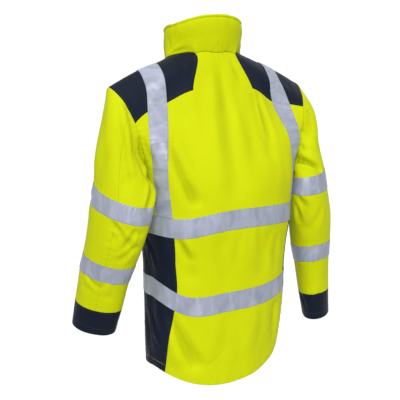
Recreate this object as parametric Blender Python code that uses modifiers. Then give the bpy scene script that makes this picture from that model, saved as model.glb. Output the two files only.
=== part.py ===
"""Hi-vis work jacket, worn form with nobody in it: hollow shell, set-in sleeves, stand collar.

Metres, +Z up, front towards -Y, the wearer's left towards +X. The origin is the middle of the
neck opening at the height where the shoulder seam meets the collar.

The cloth is one lofted net. Rings run round the body below the arms, levels run from the centre
back to the armhole above them, and the straps between panel and armhole carry on over the
shoulder to the front. Sleeves are lofted from the armhole loop and the collar from the neck loop.
Every sewn piece is a set of cells of that net, given its thickness along the net's own normals, so
that neighbouring pieces meet edge to edge.
"""
import math

import bmesh
import bpy
import numpy as np

# Walls and gaps
CLOTH = 0.002            # outer fabric, wadding and lining pressed together
COLLAR_CLOTH = 0.004     # two layers with wadding
TAPE = 0.0009            # retroreflective tape
GAP = 0.0003             # between pieces that touch
SEAM_GAP = GAP / 2       # what each piece keeps back from a shared seam
WELD = 1e-5

# Zip at the centre front
ZIP_HALF_WIDTH = 0.007
ZIP_THICKNESS = 0.0016
SLIDER = (0.011, 0.0042, 0.016)        # width, depth, length
BRIDGE_WIDTH, BRIDGE_WALL, BRIDGE_REACH = 0.0028, 0.0009, 0.0032
PULL_WIDTH, PULL_LENGTH, PULL_THICKNESS = 0.0090, 0.034, 0.0013
PULL_EYE = (0.0048, 0.0100)

# Rings of the body, hem to underarm. Lean lowers the wearer's left side, sag the back left corner.
RING_COLUMNS = ("name", "z_back", "z_side", "z_front", "half_width", "back_depth", "front_depth",
                "centre_y", "corner", "lean", "sag")
RINGS = (
    ("hem",         -0.835, -0.767, -0.771, 0.187, 0.124, 0.120, 0.036, 2.25, 0.14, 0.0000),
    ("low_bottom",  -0.640, -0.602, -0.567, 0.198, 0.132, 0.130, 0.046, 2.25, 0.02, 0.0225),
    ("low_top",     -0.590, -0.552, -0.517, 0.199, 0.133, 0.130, 0.047, 2.25, 0.02, 0.0225),
    ("waist",       -0.505, -0.485, -0.470, 0.205, 0.136, 0.134, 0.050, 2.25, 0.02, 0.0190),
    ("high_bottom", -0.430, -0.436, -0.428, 0.212, 0.138, 0.137, 0.053, 2.30, 0.02, 0.0150),
    ("high_top",    -0.380, -0.386, -0.378, 0.215, 0.138, 0.138, 0.053, 2.30, 0.02, 0.0150),
    ("underarm",    -0.300, -0.296, -0.296, 0.224, 0.132, 0.136, 0.050, 2.50, 0.00, 0.0000),
)
SAG_ANGLE, SAG_SPREAD = 44.0, 27.0
RISE_POWER = 1.6         # how the height passes from the side to the centre of a ring

# Degrees round each ring, from the centre, of the seams that run up the body
SEAM_COLUMNS = ("name", "panel", "brace_in", "brace_out", "armhole")
SEAM_ANGLES = (
    ("hem",         24, 69, 77, 84),
    ("low_bottom",  24, 57, 71, 82),
    ("low_top",     24, 54, 71, 82),
    ("waist",       24, 55, 72, 82),
    ("high_bottom", 24, 55, 73, 82),
    ("high_top",    24, 55, 73, 82),
    ("underarm",    25, 55, 72, 81),
)
SIDE_ANGLE = 90.0

# Where the same seams cross the levels above the arms, each an x, y, z
LEVEL_COLUMNS = ("name", "centre", "panel", "brace_in", "brace_out", "armhole")
BACK_LEVELS = (
    ("blade", (0, 0.152, -0.215), (0.092, 0.148, -0.215), (0.186, 0.127, -0.212),
     (0.230, 0.112, -0.212), (0.248, 0.098, -0.210)),
    ("yoke", (0, 0.096, -0.078), (0.091, 0.090, -0.081), (0.162, 0.079, -0.114),
     (0.219, 0.082, -0.129), (0.259, 0.091, -0.146)),
    ("nape", (0, 0.062, 0.013), (0.062, 0.053, 0.011), (0.161, 0.061, -0.045),
     (0.209, 0.052, -0.067), (0.277, 0.060, -0.100)),
)
RIDGE_LEVEL = ("ridge", (0.114, 0.000, 0.004), (0.159, 0.020, -0.012), (0.208, 0.014, -0.031),
               (0.291, 0.018, -0.0725))
FRONT_LEVELS = (
    ("throat", (0, -0.085, -0.060), (0.070, -0.066, -0.045), (0.160, -0.040, -0.048),
     (0.206, -0.034, -0.066), (0.278, -0.022, -0.100)),
    ("chest", (0, -0.098, -0.160), (0.085, -0.096, -0.160), (0.168, -0.082, -0.150),
     (0.208, -0.068, -0.155), (0.258, -0.040, -0.165)),
)
# How much lower these points hang on the wearer's left, and higher on the right
LEVEL_DROOP = {"yoke": (0, 0.002, 0, 0.007, 0.018), "nape": (0, 0, 0, 0.004, 0.007),
               "ridge": (0, 0.003, 0.004, 0.005)}

# Sections of each sleeve. Tilt turns a section up towards the shoulder, slant lowers its back edge,
# broad and narrow are half-widths, and turn is the way the broad one faces, from outside to back.
SLEEVE_COLUMNS = ("name", "x", "y", "z", "tilt", "slant", "broad", "narrow", "turn")
SLEEVES = {
    "left": (
        ("cap",          0.269,  0.042, -0.203, 62,  0, 0.088, 0.064,   0),
        ("bicep",        0.278,  0.067, -0.285, 20, 14, 0.083, 0.063, -45),
        ("upper_top",    0.286,  0.076, -0.336,  5, 21, 0.086, 0.060, -60),
        ("upper_bottom", 0.294,  0.074, -0.381,  5, 21, 0.085, 0.058, -60),
        ("elbow",        0.300,  0.062, -0.438,  5, 20, 0.078, 0.056, -56),
        ("lower_top",    0.305,  0.036, -0.502,  3, 19, 0.070, 0.054, -52),
        ("lower_bottom", 0.308,  0.017, -0.543,  2, 20, 0.067, 0.052, -52),
        ("cuff_top",     0.312, -0.016, -0.626,  0, 17, 0.063, 0.047, -54),
        ("cuff_bottom",  0.314, -0.043, -0.691,  0, 18, 0.059, 0.046, -50),
    ),
    "right": (
        ("cap",          0.269,  0.042, -0.197, 62,  0, 0.088, 0.064,   0),
        ("bicep",        0.270,  0.060, -0.258, 30,  3, 0.084, 0.058, -40),
        ("upper_top",    0.277,  0.073, -0.303, 10,  5, 0.084, 0.056, -52),
        ("upper_bottom", 0.285,  0.077, -0.354,  7,  5, 0.083, 0.055, -50),
        ("elbow",        0.299,  0.072, -0.431,  7,  3, 0.078, 0.058, -46),
        ("lower_top",    0.314,  0.058, -0.505,  7,  1, 0.072, 0.055, -42),
        ("lower_bottom", 0.324,  0.050, -0.551,  7,  1, 0.069, 0.050, -42),
        ("cuff_top",     0.342,  0.038, -0.647,  6,  4, 0.063, 0.042, -42),
        ("cuff_bottom",  0.360,  0.028, -0.722,  8,  4, 0.058, 0.036, -45),
    ),
}
# How far a hanging sleeve keeps off the body, growing with the distance from the armhole
CLEARANCE, CLEARANCE_SLOPE, CLEARING_PASSES = 0.007, 0.36, 6
OVER_BODY, OVER_EDGE = 0.012, 0.001

# Degrees round the sleeve, from the top line to the back, of its two long seams
BACK_SLEEVE_SEAM, FRONT_SLEEVE_SEAM = 53.0, 285.0

COLLAR_COLUMNS = ("name", "z_back", "z_side", "z_front", "half_width", "y_back", "y_front", "corner")
COLLAR = (
    ("stand", 0.050, 0.042, -0.014, 0.1130, 0.073, -0.089, 2.2),
    ("fold",  0.103, 0.078,  0.030, 0.1055, 0.0735, -0.090, 2.2),
    ("top",   0.113, 0.087,  0.040, 0.1020, 0.070, -0.091, 2.2),
)

# Main folds: a line from start to end, how wide it is and how deep (a negative depth stands out)
FOLD_COLUMNS = ("name", "start", "end", "width", "depth")
FOLDS = (
    ("blade_middle",      (0.035, 0.125, -0.150), (0.020, 0.188, -0.335), 0.030, 0.005),
    ("blade_crest",       (-0.010, 0.130, -0.160), (-0.045, 0.186, -0.334), 0.028, -0.003),
    ("blade_right",       (-0.095, 0.100, -0.110), (-0.105, 0.152, -0.240), 0.022, 0.006),
    ("blade_left",        (0.133, 0.110, -0.150), (0.130, 0.168, -0.350), 0.026, 0.005),
    ("waist_left",        (0.173, 0.140, -0.467), (0.142, 0.152, -0.545), 0.022, 0.007),
    ("waist_middle",      (0.062, 0.185, -0.474), (0.048, 0.180, -0.558), 0.024, 0.004),
    ("waist_right",       (-0.080, 0.182, -0.465), (-0.060, 0.178, -0.550), 0.022, 0.004),
    ("skirt_left",        (0.152, 0.138, -0.655), (0.118, 0.146, -0.775), 0.022, 0.009),
    ("skirt_left_crest",  (0.188, 0.086, -0.650), (0.160, 0.112, -0.760), 0.020, -0.005),
    ("skirt_middle",      (0.026, 0.176, -0.667), (0.000, 0.165, -0.784), 0.028, 0.004),
    ("skirt_right",       (-0.120, 0.152, -0.660), (-0.090, 0.150, -0.760), 0.024, 0.005),
    ("side_left",         (0.200, 0.060, -0.500), (0.192, 0.050, -0.700), 0.018, 0.004),
    ("side_right",        (-0.200, 0.050, -0.480), (-0.190, 0.060, -0.680), 0.018, 0.004),
    ("front_left",        (0.110, -0.082, -0.230), (0.085, -0.086, -0.420), 0.024, 0.005),
    ("front_right",       (-0.125, -0.076, -0.210), (-0.095, -0.084, -0.400), 0.024, 0.005),
    ("front_skirt_left",  (0.105, -0.074, -0.600), (0.090, -0.070, -0.740), 0.024, 0.006),
    ("front_skirt_right", (-0.090, -0.078, -0.620), (-0.110, -0.064, -0.750), 0.024, 0.006),
    ("left_cap_crest",    (0.284, 0.094, -0.140), (0.293, 0.135, -0.275), 0.013, -0.006),
    ("left_cap_pleat",    (0.300, 0.100, -0.145), (0.307, 0.130, -0.300), 0.014, 0.006),
    ("left_cap_outer",    (0.340, 0.090, -0.180), (0.350, 0.056, -0.310), 0.028, 0.005),
    ("left_armpit",       (0.262, 0.122, -0.235), (0.240, 0.126, -0.300), 0.013, 0.008),
    ("left_elbow_upper",  (0.330, 0.112, -0.412), (0.275, 0.140, -0.430), 0.012, 0.006),
    ("left_elbow_lower",  (0.325, 0.112, -0.440), (0.280, 0.124, -0.468), 0.012, 0.006),
    ("left_forearm",      (0.352, 0.008, -0.575), (0.318, 0.045, -0.596), 0.012, 0.004),
    ("right_armpit",      (-0.232, 0.120, -0.270), (-0.282, 0.140, -0.290), 0.010, 0.009),
    ("right_cap_pleat",   (-0.250, 0.104, -0.200), (-0.275, 0.128, -0.225), 0.012, 0.005),
    ("right_elbow_upper", (-0.240, 0.120, -0.385), (-0.252, 0.112, -0.450), 0.013, 0.008),
    ("right_elbow_lower", (-0.300, 0.122, -0.420), (-0.262, 0.090, -0.470), 0.013, 0.005),
    ("right_forearm",     (-0.280, 0.060, -0.570), (-0.300, 0.075, -0.625), 0.013, 0.005),
)

# Cells of the net: along the seams from the centre to the armhole, then from level to level
COLUMN_CELLS = (3, 4, 2, 1)
SIDE_CELLS = 2
RING_CELLS = (5, 1, 2, 2, 1, 2)
BACK_CELLS = (2, 4, 3)
STRAP_CELLS = (2, 2)
FRONT_CELLS = (3, 4)
SLEEVE_CELLS = (3, 3, 2, 1, 2, 3, 1, 3, 2)
COLLAR_CELLS = (2, 2, 1)

YELLOW = (0.62, 0.86, 0.02, 1.0)
NAVY = (0.012, 0.018, 0.040, 1.0)
SILVER = (0.48, 0.49, 0.55, 1.0)
STEEL = (0.60, 0.60, 0.62, 1.0)


# ---------------------------------------------------------------- curves and nets

def smooth(knots, values, at):
    """Cubic through the values at the knots, each slope taken from a parabola through neighbours."""
    knots, values, at = (np.asarray(given, float) for given in (knots, values, at))
    along = (-1,) + (1,) * (values.ndim - 1)
    gaps = np.diff(knots)
    gap = gaps.reshape(along)
    rises = np.diff(values, axis=0) / gap
    inner = (rises[:-1] * gap[1:] + rises[1:] * gap[:-1]) / (gap[1:] + gap[:-1])
    slopes = np.concatenate([2 * rises[:1] - inner[:1], inner, 2 * rises[-1:] - inner[-1:]])
    span = np.clip(np.searchsorted(knots, at, side="right") - 1, 0, len(gaps) - 1)
    t = ((at - knots[span]) / gaps[span]).reshape(along)
    step = gaps[span].reshape(along)
    return ((1 + 2 * t) * (1 - t) ** 2 * values[span] + t * (1 - t) ** 2 * step * slopes[span]
            + t * t * (3 - 2 * t) * values[span + 1] - t * t * (1 - t) * step * slopes[span + 1])


def steps(counts):
    """0 to len(counts), with counts[i] equal steps in span i."""
    return np.concatenate([[0.0]] + [i + np.arange(1, n + 1) / n for i, n in enumerate(counts)])


def stations(knots, counts):
    return np.interp(steps(counts), np.arange(len(knots)), knots)


def lengths(points):
    """Distance along rows of points, the mean over the columns of a net."""
    legs = np.linalg.norm(np.diff(points, axis=0), axis=-1)
    return np.concatenate([[0.0], np.cumsum(legs.reshape(len(legs), -1).mean(axis=1))])


def ring_points(ring, angles, side):
    """Points of one ring at angles from the centre back, for side +1 (left) or -1."""
    _, z_back, z_side, z_front, half_width, back, front, centre_y, corner, lean, sag = ring
    sine, cosine = np.sin(np.radians(angles)), np.cos(np.radians(angles))
    x = half_width * np.abs(sine) ** (2 / corner)
    depth = np.where(cosine > 0, back, front) * np.sign(cosine)
    y = centre_y + depth * np.abs(cosine) ** (2 / corner)
    end = np.where(cosine > 0, z_back, z_front)
    z = z_side + (end - z_side) * np.abs(cosine) ** RISE_POWER
    z = z - lean * side * x - sag * np.exp(-((side * angles - SAG_ANGLE) / SAG_SPREAD) ** 2)
    return np.stack([x, y, z], axis=-1)


def seam_spread(seams, at):
    """Angles at fractions of the seams, even about the centre and running on to the side."""
    named = [0, *seams[1:]]
    return smooth([-1, 0, 1, 2, 3, 4, 5], [-named[1], *named, SIDE_ANGLE], at)


def drooped(level, side):
    points = np.array(level[1:], float)
    points[:, 2] -= side * np.array(LEVEL_DROOP.get(level[0], np.zeros(len(points))))
    return points


def level_points(level, at, side):
    """Points of one level above the arms, its curve carried over the centre to the other half."""
    points = drooped(level, side)
    mirrored = points[1:2] * [-1, 1, 1]
    return smooth([-1, 0, 1, 2, 3, 4], np.concatenate([mirrored, points]), at)


def loft_rows(side):
    """Control rows from the back hem over the shoulder to the front hem, seen as if on +X."""
    at = steps(COLUMN_CELLS)
    panel = COLUMN_CELLS[0]
    pairs = list(zip(RINGS, SEAM_ANGLES))
    rows = [ring_points(ring, seam_spread(seams, at), side) for ring, seams in pairs]
    rows += [level_points(level, at, side) for level in BACK_LEVELS]
    ridge = np.zeros((len(at), 3))
    ridge[panel:] = smooth([1, 2, 3, 4], drooped(RIDGE_LEVEL, side), at[panel:])
    rows += [ridge] + [level_points(level, at, side) for level in FRONT_LEVELS]
    rows += [ring_points(ring, 180 - seam_spread(seams, at), side) for ring, seams in pairs[::-1]]
    return np.array(rows)


def seam_lengths(rows):
    """How far along the brace's inner seam each row lies."""
    return lengths(rows[:, sum(COLUMN_CELLS[:2])])


class Half:
    """Nets of one side of the body, as if on +X: rows hem to neck, columns centre to armhole."""

    def __init__(self, side):
        at = steps(COLUMN_CELLS)
        self.panel = COLUMN_CELLS[0]
        whole = loft_rows(side)
        # Both halves share their stations, or their rows would not meet at the centre.
        knots = (seam_lengths(whole) + seam_lengths(loft_rows(-side))) / 2
        back = whole[:len(RINGS) + len(BACK_LEVELS)]
        front = whole[:len(back):-1]
        nape, throat = len(back) - 1, len(back) + 1
        ring_cells = list(RING_CELLS)
        back_at = stations(knots[:nape + 1], ring_cells + list(BACK_CELLS))
        strap_at = stations(knots[nape:throat + 1], STRAP_CELLS)
        front_at = stations(knots[throat:], list(FRONT_CELLS) + ring_cells[::-1])
        # Between the neck seams there is no cloth: a point past each seam keeps the slope there.
        over_back, over_front = whole[:nape + 2].copy(), whole[nape + 1:].copy()
        over_back[-1] = back[-1] + 0.5 * (back[-1] - back[-2])
        over_front[0] = front[-1] + 0.5 * (front[-1] - front[-2])
        all_at = np.concatenate([back_at, strap_at[1:-1], front_at])
        self.strap = smooth(knots, whole[:, self.panel:], all_at)
        self.nape, self.throat = len(back_at) - 1, len(back_at) - 1 + len(strap_at) - 1
        self.ridge = self.nape + STRAP_CELLS[0]
        self.back = smooth(knots[:nape + 2], over_back[:, :self.panel + 1], back_at)
        self.front = smooth(knots[nape + 1:], over_front[:, :self.panel + 1], front_at)
        self.back[:, -1] = self.strap[:self.nape + 1, 0]
        self.front[:, -1] = self.strap[self.throat:, 0]
        self.front[:, 0, 0] = ZIP_HALF_WIDTH
        spread = np.linspace(0, 1, 2 * SIDE_CELLS + 1)
        side_rows = []
        for ring, seams in zip(RINGS, SEAM_ANGLES):
            armhole = seams[-1]
            side_rows.append(ring_points(ring, armhole + (180 - 2 * armhole) * spread, side))
        side_rows.append(2 * side_rows[-1] - side_rows[-2])
        self.side = smooth(knots[:len(RINGS) + 1], side_rows, stations(knots[:len(RINGS)], ring_cells))
        self.under = len(self.side) - 1
        self.side[:, 0] = self.strap[:self.under + 1, -1]
        self.side[:, -1] = self.strap[::-1][:self.under + 1, -1]

    def armhole(self):
        """The loop from the shoulder tip down the back, under the arm and up the front."""
        edge = self.strap[:, -1]
        back = edge[self.under:self.ridge + 1][::-1]
        front = edge[self.ridge + 1:len(edge) - 1 - self.under][::-1]
        return np.concatenate([back, self.side[-1, 1:], front]), len(back) - 1 + SIDE_CELLS

    def neck(self):
        """From the centre back round the side of the neck to the zip."""
        side = self.strap[self.nape:self.throat + 1, 0]
        return np.concatenate([self.back[-1], side[1:], self.front[0, ::-1][1:]])


def sleeve_net(loop, bottom, sections):
    """Rows from the armhole loop to the cuff's edge, and the angle of each column."""
    walked = lengths(np.vstack([loop, loop[:1]])[:, None])
    half, total = walked[bottom], walked[-1]
    at = walked[:-1]
    angles = np.where(at <= half, 180 * at / half, 180 + 180 * (at - half) / (total - half))
    rows = [loop]
    for _, x, y, z, tilt, slant, broad, narrow, turn in sections:
        tilt, slant = math.radians(tilt), math.radians(slant)
        outwards = np.array([math.cos(tilt), 0, math.sin(tilt)])
        along = np.array([math.sin(tilt), 0, -math.cos(tilt)])
        backwards = np.array([0, math.cos(slant), 0]) + along * math.sin(slant)
        angle, facing = np.radians(angles), np.radians(angles - turn)
        radius = 1 / np.hypot(np.cos(facing) / broad, np.sin(facing) / narrow)
        ring = np.outer(radius * np.cos(angle), outwards) + np.outer(radius * np.sin(angle), backwards)
        rows.append(ring + [x, y, z])
    knots = lengths(np.array(rows))
    return smooth(knots, rows, stations(knots, SLEEVE_CELLS)), angles


def kept_clear(sleeve, loop, half):
    """The sleeve's net, moved out of the body wherever it would lie in it or too close to it."""
    body = np.concatenate([dense(net) for net in (half.back, half.strap, half.front, half.side)])
    facing = np.concatenate([dense_normals(net) for net in (half.back, half.strap, half.front, half.side)])
    shares = np.linspace(0, 1, 8, endpoint=False)[:, None, None]
    loop = (loop * (1 - shares) + np.roll(loop, -1, axis=0) * shares).reshape(-1, 3)
    # Above the arm a point past the armhole's edge is over no part of the body; below it hangs beside.
    at_edge = np.linalg.norm(body[:, None] - loop[None], axis=2).min(axis=1) < OVER_BODY
    at_edge &= body[:, 2] > loop[:, 2].mean()
    moved = sleeve.copy()
    for _ in range(CLEARING_PASSES):
        points = moved[1:].reshape(-1, 3)
        nearest = np.linalg.norm(points[:, None] - body[None], axis=2).argmin(axis=1)
        from_loop = np.linalg.norm(points[:, None] - loop[None], axis=2).min(axis=1)
        wanted = np.minimum(CLEARANCE, CLEARANCE_SLOPE * from_loop)
        offset = points - body[nearest]
        away = (offset * facing[nearest]).sum(axis=1)
        beside = np.sqrt((offset ** 2).sum(axis=1) - away ** 2)
        over = beside < np.where(at_edge[nearest], OVER_EDGE, OVER_BODY)
        points = points + facing[nearest] * (over * np.maximum(wanted - away, 0))[:, None]
        moved[1:] = points.reshape(moved[1:].shape)
    return moved


def dense(net):
    """The net's points with three more in every gap each way."""
    for axis in (0, 1):
        at = np.arange(4 * (net.shape[axis] - 1) + 1) / 4
        lower = np.minimum(at.astype(int), net.shape[axis] - 2)
        share = (at - lower).reshape((-1, 1, 1) if axis == 0 else (1, -1, 1))
        net = np.take(net, lower, axis) * (1 - share) + np.take(net, lower + 1, axis) * share
    return net.reshape(-1, 3)


def dense_normals(net):
    across = np.cross(np.gradient(net, axis=0), np.gradient(net, axis=1))
    made = dense(across)
    return made / np.linalg.norm(made, axis=1, keepdims=True)


def collar_net(loop):
    """Rows from the neck loop to the top edge, on one half."""
    angles = 180 * lengths(loop) / lengths(loop)[-1]
    rows = [loop]
    for _, z_back, z_side, z_front, half_width, y_back, y_front, corner in COLLAR:
        depth, centre_y = (y_back - y_front) / 2, (y_back + y_front) / 2
        ring = ("", z_back, z_side, z_front, half_width, depth, depth, centre_y, corner, 0.0, 0.0)
        rows.append(ring_points(ring, angles, 1))
        rows[-1][-1, 0] = ZIP_HALF_WIDTH
    knots = lengths(np.array(rows))
    return smooth(knots, rows, stations(knots, COLLAR_CELLS))


# ---------------------------------------------------------------- the whole cloth

class Cloth:
    """All cells of the jacket on shared points, each with the piece and the tape it belongs to."""

    def __init__(self):
        self.points, self.index, self.cells, self.piece, self.tape = [], {}, [], [], []

    def vertex(self, point):
        key = tuple(np.round(point / WELD).astype(int))
        if key not in self.index:
            self.index[key] = len(self.points)
            self.points.append(point)
        return self.index[key]

    def add(self, net, name, mirror=False, closed=False):
        """Cells of a net. name(row, column) gives the piece and the tape, or None to leave it out."""
        if mirror:
            net = net * [-1, 1, 1]
        ids = [[self.vertex(point) for point in row] for row in net]
        columns = len(ids[0]) if closed else len(ids[0]) - 1
        for row in range(len(ids) - 1):
            for column in range(columns):
                named = name(row, column)
                if named is None:
                    continue
                after = (column + 1) % len(ids[0])
                cell = [ids[row][column], ids[row][after], ids[row + 1][after], ids[row + 1][column]]
                self.cells.append(cell if mirror else cell[::-1])
                self.piece.append(named[0])
                self.tape.append(named[1])

    def normals(self):
        corners = self.points[self.cells]
        across = np.cross(corners[:, 2] - corners[:, 0], corners[:, 3] - corners[:, 1])
        summed = np.zeros_like(self.points)
        for corner in range(4):
            np.add.at(summed, self.cells[:, corner], across)
        return summed / np.linalg.norm(summed, axis=1, keepdims=True)

    def finish(self):
        """Fixes the lists as arrays and presses the main folds in."""
        self.points, self.cells = np.array(self.points), np.array(self.cells)
        self.piece, self.tape = np.array(self.piece), np.array(self.tape)
        depth = sum(fold_depth(self.points, *fold[1:]) for fold in FOLDS)
        self.points = self.points - self.normals() * depth[:, None]
        self.normal = self.normals()
        pairs = np.unique(np.stack([np.repeat(self.piece, 4), self.cells.reshape(-1)], axis=1), axis=0)
        self.seamed = np.bincount(pairs[:, 1].astype(int)) > 1
        # Panel and tape share the same triangles, or a bent cell of one would cut into the other.
        corners = self.points[self.cells]
        first = np.linalg.norm(corners[:, 2] - corners[:, 0], axis=1)
        second = np.linalg.norm(corners[:, 3] - corners[:, 1], axis=1)
        self.turned = second < first


def fold_depth(points, start, end, width, depth):
    start, end = np.array(start), np.array(end)
    run = end - start
    share = np.clip((points - start) @ run / (run @ run), 0, 1)
    away = np.linalg.norm(points - start - share[:, None] * run, axis=1)
    return depth * np.exp(-(away / width) ** 2)


def body_names(side, half):
    """The functions that name the cells of one half's nets."""
    hem, low_bottom, low_top, waist, high_bottom, high_top, under, blade, yoke = \
        [0] + list(np.cumsum(RING_CELLS + BACK_CELLS[:2]))
    brace_in = COLUMN_CELLS[1]
    brace_out = brace_in + COLUMN_CELLS[2]
    last = len(half.strap) - 1
    chest = half.throat + FRONT_CELLS[0]

    def band(row):
        if low_bottom <= row < low_top:
            return "band_lower"
        return "band_upper" if high_bottom <= row < high_top else ""

    def back(row, column):
        return "back", band(row)

    def front(row, column):
        return "front_" + side, band(last - half.throat - 1 - row)

    def strap(row, column):
        up = min(row, last - 1 - row)
        tape = "brace_" + side if brace_in <= column < brace_out and up >= high_top else band(up)
        if yoke <= row < chest:
            return "shoulder_patch_" + side, tape
        if column >= brace_in and up < high_bottom:
            return ("side_back_" if row < half.ridge else "side_front_") + side, tape
        return ("back" if row < half.ridge else "front_" + side), tape

    def flank(row, column):
        is_back = column < SIDE_CELLS
        if row < high_bottom:
            return ("side_back_" if is_back else "side_front_") + side, band(row)
        return ("back" if is_back else "front_" + side), band(row)

    return back, strap, front, flank


def sleeve_names(side, angles):
    rows = [0] + list(np.cumsum(SLEEVE_CELLS))
    upper, lower, cuff = rows[3], rows[6], rows[8]

    def name(row, column):
        outer = angles[column] < BACK_SLEEVE_SEAM or angles[column] >= FRONT_SLEEVE_SEAM
        piece = ("cuff_" if row >= cuff else "sleeve_outer_" if outer else "sleeve_under_") + side
        tape = "sleeve_band_upper_" if row == upper else "sleeve_band_lower_" if row == lower else ""
        return piece, tape and tape + side
    return name


def at_seams(angles):
    """The columns' angles with the nearest ones moved to the long seams, so that a column is there."""
    moved = angles.copy()
    for seam in (BACK_SLEEVE_SEAM, FRONT_SLEEVE_SEAM):
        moved[np.abs(angles - seam).argmin()] = seam
    return moved


def make_cloth():
    cloth = Cloth()
    for side, mirror in (("left", False), ("right", True)):
        half = Half(-1 if mirror else 1)
        back, strap, front, flank = body_names(side, half)
        cloth.add(half.back, back, mirror)
        cloth.add(half.strap, strap, mirror)
        cloth.add(half.front, front, mirror)
        cloth.add(half.side, flank, mirror)
        loop, bottom = half.armhole()
        net, angles = sleeve_net(loop, bottom, SLEEVES[side])
        net = kept_clear(net, loop, half)
        cloth.add(net, sleeve_names(side, at_seams(angles)), mirror, closed=True)
        collar = collar_net(half.neck())
        cloth.add(collar, lambda row, column: ("collar", ""), mirror)
        if not mirror:
            # The zip's strip is one cell wide, between this edge and its mirror image.
            edge = np.concatenate([half.front[::-1, 0], collar[1:, -1]])
            strip = np.stack([edge, edge * [-1, 1, 1]], axis=1)
    cloth.add(strip, lambda row, column: ("zip", ""))
    cloth.finish()
    return cloth


# ---------------------------------------------------------------- solids

def wall(cloth, chosen, outside, thickness):
    """A closed wall on the chosen cells: its outer face lies outside by that much, its edges kept back.

    At a seam it is no thicker than the cloth it is sewn to.
    """
    cells = cloth.cells[chosen]
    used, local = np.unique(cells, return_inverse=True)
    local = local.reshape(cells.shape)
    points, normal = cloth.points[used], cloth.normal[used]
    points = points + seam_inset(points, normal, local)
    edges = rim_edges(local)
    outer = points + normal * outside
    depth = np.where(cloth.seamed[used], min(thickness, CLOTH), thickness)
    inner = outer - normal * depth[:, None]
    count = len(points)
    turned = cloth.turned[chosen]
    local[turned] = np.roll(local[turned], 1, axis=1)
    triangles = np.concatenate([local[:, [0, 1, 2]], local[:, [0, 2, 3]]])
    # The edge's two walls are cut along one diagonal by both pieces: local numbers keep cloth order.
    start, end = edges[edges[:, 0] < edges[:, 1]].T
    rim = [[end, start, end + count], [start, start + count, end + count]]
    start, end = edges[edges[:, 0] > edges[:, 1]].T
    rim += [[end, start, start + count], [end, start + count, end + count]]
    faces = [triangles, triangles[:, ::-1] + count] + [np.stack(face, axis=1) for face in rim]
    return np.concatenate([outer, inner]), np.concatenate(faces).tolist()


def rim_edges(cells):
    """Edges that only one cell has, as pairs in the order of that cell."""
    edges = np.stack([cells, np.roll(cells, -1, axis=1)], axis=-1).reshape(-1, 2)
    known = {tuple(edge) for edge in edges}
    return np.array([edge for edge in edges if (edge[1], edge[0]) not in known])


def seam_inset(points, normal, cells):
    """Moves that keep the rim's points SEAM_GAP inside its edges, square to both edges at a point."""
    start, end = rim_edges(cells).T
    run = points[end] - points[start]
    total = np.zeros_like(points)
    for at in (start, end):
        inwards = np.cross(normal[at], run)
        inwards /= np.linalg.norm(inwards, axis=1, keepdims=True)
        np.add.at(total, at, inwards)
    squared = (total ** 2).sum(axis=1)
    # Two unit normals m and n sum to s; the point square to both edges is 2 s / (s . s).
    return total * (SEAM_GAP * 2 / np.maximum(squared, 1.0))[:, None]


def material(name, colour, roughness, metallic=0.0):
    made = bpy.data.materials.new(name)
    made.use_nodes = True
    shader = made.node_tree.nodes["Principled BSDF"]
    shader.inputs["Base Color"].default_value = colour
    shader.inputs["Roughness"].default_value = roughness
    shader.inputs["Metallic"].default_value = metallic
    return made


def add_object(name, mesh, finish, collection):
    made = bpy.data.objects.new(name, mesh)
    mesh.materials.append(finish)
    collection.objects.link(made)
    return made


def add_wall(cloth, name, chosen, outside, thickness, finish, collection):
    points, faces = wall(cloth, chosen, outside, thickness)
    mesh = bpy.data.meshes.new(name)
    mesh.from_pydata(points.tolist(), [], faces)
    mesh.shade_smooth()
    mesh.set_sharp_from_angle(angle=math.radians(50))
    return add_object(name, mesh, finish, collection)


def boxes_mesh(name, boxes, bevel):
    """Boxes, each (middle, size), joined into one body by Boolean unions, with bevelled edges."""
    made = None
    for middle, size in boxes:
        mesh = bpy.data.meshes.new(name)
        shape = bmesh.new()
        bmesh.ops.create_cube(shape, size=1)
        bmesh.ops.scale(shape, vec=size, verts=shape.verts)
        bmesh.ops.translate(shape, vec=middle, verts=shape.verts)
        shape.to_mesh(mesh)
        shape.free()
        piece = bpy.data.objects.new(name, mesh)
        bpy.context.scene.collection.objects.link(piece)
        if made is None:
            made = piece
            continue
        join(made, piece, "UNION")
    rounded = made.modifiers.new("rounded", "BEVEL")
    rounded.width, rounded.segments = bevel, 2
    return baked(made)


def join(target, other, operation):
    cut = target.modifiers.new(operation.lower(), "BOOLEAN")
    cut.operation, cut.object = operation, other
    mesh = evaluated_mesh(target)
    target.modifiers.clear()
    target.data = mesh
    bpy.data.objects.remove(other)


def evaluated_mesh(piece):
    bpy.context.view_layer.update()
    return bpy.data.meshes.new_from_object(piece.evaluated_get(bpy.context.evaluated_depsgraph_get()))


def baked(piece):
    mesh = evaluated_mesh(piece)
    bpy.data.objects.remove(piece)
    return mesh


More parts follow.
